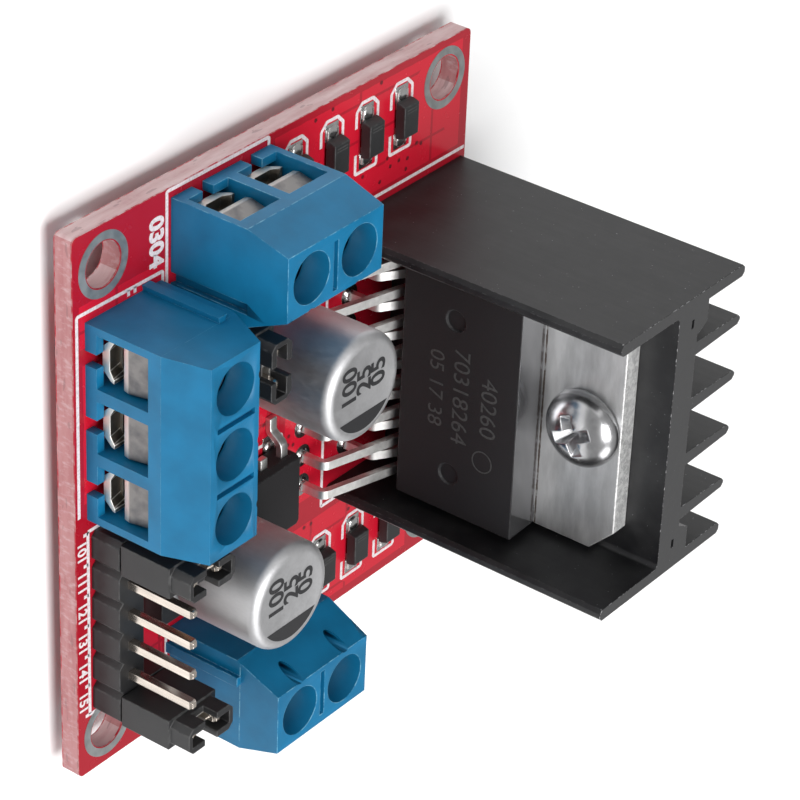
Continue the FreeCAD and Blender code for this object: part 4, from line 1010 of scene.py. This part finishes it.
# soft mounds of solder over the leads' feet
mounds = Shape("solderMound", Length=0.0006, Width=0.00062, Height=0.0002, Seed=7)
ball = mounds.node("GeometryNodeMeshUVSphere", values={"Segments": 16, "Rings": 8, "Radius": 1.0})
ball = mounds.node("GeometryNodeSetShadeSmooth", values={"Geometry": ball})
stretch = mounds.random(0.85, 1.1)
mounds.close(mounds.node("GeometryNodeInstanceOnPoints", values={
    "Points": mounds.size("Base"), "Instance": ball,
    "Scale": mounds.node("ShaderNodeCombineXYZ", values={
        "X": mounds.size("Length") * stretch, "Y": mounds.size("Width"),
        "Z": mounds.size("Height") * stretch})}), "solder")
mounds.make("solder_mounds", blobs)
print("pads and solder mounds made")

softened("regulator_leads", "lead", 0.08)


# pan-head screw of the chip, with a pressed cross
screw = {"seatY": 11.5, "level": 22.1, "length": 6.9, "thread": 1.5, "top": 2.1, "turn": 23,
         "crossSpan": 1.7, "crossHalf": 0.48, "crossDepth": 1.35, "crossEdge": 0.05}
profile = [(0.9, -screw["length"]), (screw["thread"], -screw["length"] + 0.5)]
profile += [(screw["thread"], -0.02), (2.72, -0.02), (2.92, 0.08), (3.0, 0.3), (2.97, 0.62),
            (2.84, 0.98), (2.58, 1.32), (2.2, 1.62), (1.75, 1.86), (1.2, 2.02), (0.6, 2.09)]
head = turned("chip_screw_turned", profile, 64, (0, 0), "zinc", ["chip_screw"])
bm = bmesh.new()
span, half = screw["crossSpan"], screw["crossHalf"]
cross = ((-span, -half), (-half, -half), (-half, -span), (half, -span), (half, -half),
         (span, -half), (span, half), (half, half), (half, span), (-half, span), (-half, half),
         (-span, half))
outlines = []
for height, share in ((screw["top"] + 0.2, 1.12), (screw["top"] - screw["crossDepth"], 0.42)):
    outlines.append([(x * share, y * share, height) for x, y in cross])
addSolid(bm, *outlines, Matrix())
punch = newObject("punch", closedForm(bm, "punch"))
pressed = head.modifiers.new("cross", "BOOLEAN")
pressed.object = punch
pressed.operation = "DIFFERENCE"
pressed.solver = "EXACT"
cut = evaluated(head)
head.modifiers.clear()
bpy.data.objects.remove(punch)
bm = bmesh.new()
bm.from_mesh(cut)
recessEdges = []
for item in bm.edges:
    inHead = (item.verts[0].co + item.verts[1].co).z / 2 > 0.7 * mm
    if inHead and len(item.link_faces) == 2 and item.calc_face_angle() > math.radians(25):
        recessEdges.append(item)
bevel(bm, recessEdges, screw["crossEdge"])
cut = smoothMesh(bm, "chip_screw_pressed", 40)
cut.transform(Matrix.Translation(Vector((0, screw["seatY"], screw["level"])) * mm)
              @ Matrix.Rotation(math.radians(90), 4, "X")
              @ Matrix.Rotation(math.radians(screw["turn"]), 4, "Z"))
head.data = cut
dress(head, "zinc")
print("screw made")

# faint plain digits and a round mark on the chip's face
chipFace = {"y": 8.085, "digitsX": -0.4, "markX": 4.2, "markZ": 15.6, "markRadius": 0.85}
bm = bmesh.new()
for words, level, size in (("40260", 15.85, 2.0), ("70318264", 13.35, 2.0),
                           ("05 17 38", 11.15, 1.8)):
    printedDigits(bm, words, 0, 0, 0, size, 0, 0)
    fresh = [vert for vert in bm.verts if not vert.tag]
    for vert in fresh:
        vert.tag = True
    bmesh.ops.transform(bm, verts=fresh, matrix=Matrix.Translation(
        Vector((chipFace["digitsX"], chipFace["y"], level)) * mm)
        @ Matrix.Rotation(math.radians(90), 4, "X"))
makePiece("chip_digits", meshFrom(bm, "chip_digits"), finish="faint")
circle = []
for step in range(33):
    x, z = around((chipFace["markX"], chipFace["markZ"]), chipFace["markRadius"],
                  2 * math.pi * step / 32)
    circle.append((x, chipFace["y"], z))
strips("faint", "chipMark").make(
    "chip_mark", circle, [(index, index + 1) for index in range(32)], Width=0.02 * mm,
    Thickness=0.1 * mm, Bend=0.01 * mm)

# studio: lengths in metres; each light has its place, power and size
studio = {"floor": 4.0, "world": 0.42, "aim": (0, 0, 0.012)}
lights = {"keyLight": ((0.0, -0.26, 0.6), 4.3, (0.4, 0.35)),
          "fillLight": ((-0.55, -0.15, 0.3), 0.3, (0.4, 0.3)),
          "sideLight": ((0.5, -0.1, 0.4), 0.9, (0.3, 0.3))}
scene.view_settings.view_transform = "Standard"
floorMesh = bpy.data.meshes.new("floor")
half = studio["floor"] / 2
floorMesh.from_pydata([(-half, -half, 0), (half, -half, 0), (half, half, 0), (-half, half, 0)],
                      [], [(0, 1, 2, 3)])
floor = newObject("floor", floorMesh)
floorPaint = Paint("paleFloor", {"Roughness": 0.9})
shade = floorPaint.mixed(floorPaint.noise(3, 2), (0.92, 0.92, 0.92), (0.95, 0.95, 0.95))
floorPaint.feed("Base Color", shade)
floor.data.materials.append(floorPaint.material)

world = bpy.data.worlds.new("studio")
scene.world = world
world.use_nodes = True
background = world.node_tree.nodes["Background"]
background.inputs["Color"].default_value = (1.0, 1.0, 1.0, 1)
background.inputs["Strength"].default_value = studio["world"]

for name, (place, power, size) in lights.items():
    lamp = bpy.data.lights.new(name, "AREA")
    lamp.energy = power
    lamp.shape = "RECTANGLE"
    lamp.size, lamp.size_y = size
    piece = newObject(name, lamp)
    piece.location = place
    piece.rotation_mode = "QUATERNION"
    towards = Vector(studio["aim"]) - Vector(place)
    piece.rotation_quaternion = towards.to_track_quat("-Z", "Y")

# camera, as the photograph was taken: rolled so that the board stands on edge in the frame
view = {"place": (-0.12888, -0.16384, 0.13466), "right": (-0.03746, 0.61091, 0.79081),
        "down": (0.85184, -0.39423, 0.3449), "forward": (0.52247, 0.68656, -0.50563),
        "lens": 154.32, "sensor": 36, "near": 0.01, "far": 20}
lens = bpy.data.cameras.new("camera")
lens.sensor_width = view["sensor"]
lens.lens = view["lens"]
lens.clip_start = view["near"]
lens.clip_end = view["far"]
camera = newObject("camera", lens)
right, down, forward = (Vector(view[side]) for side in ("right", "down", "forward"))
place = Matrix((right, -down, -forward)).transposed().to_4x4()
place.translation = Vector(view["place"])
camera.matrix_world = place
scene.camera = camera
print("studio and camera ready")
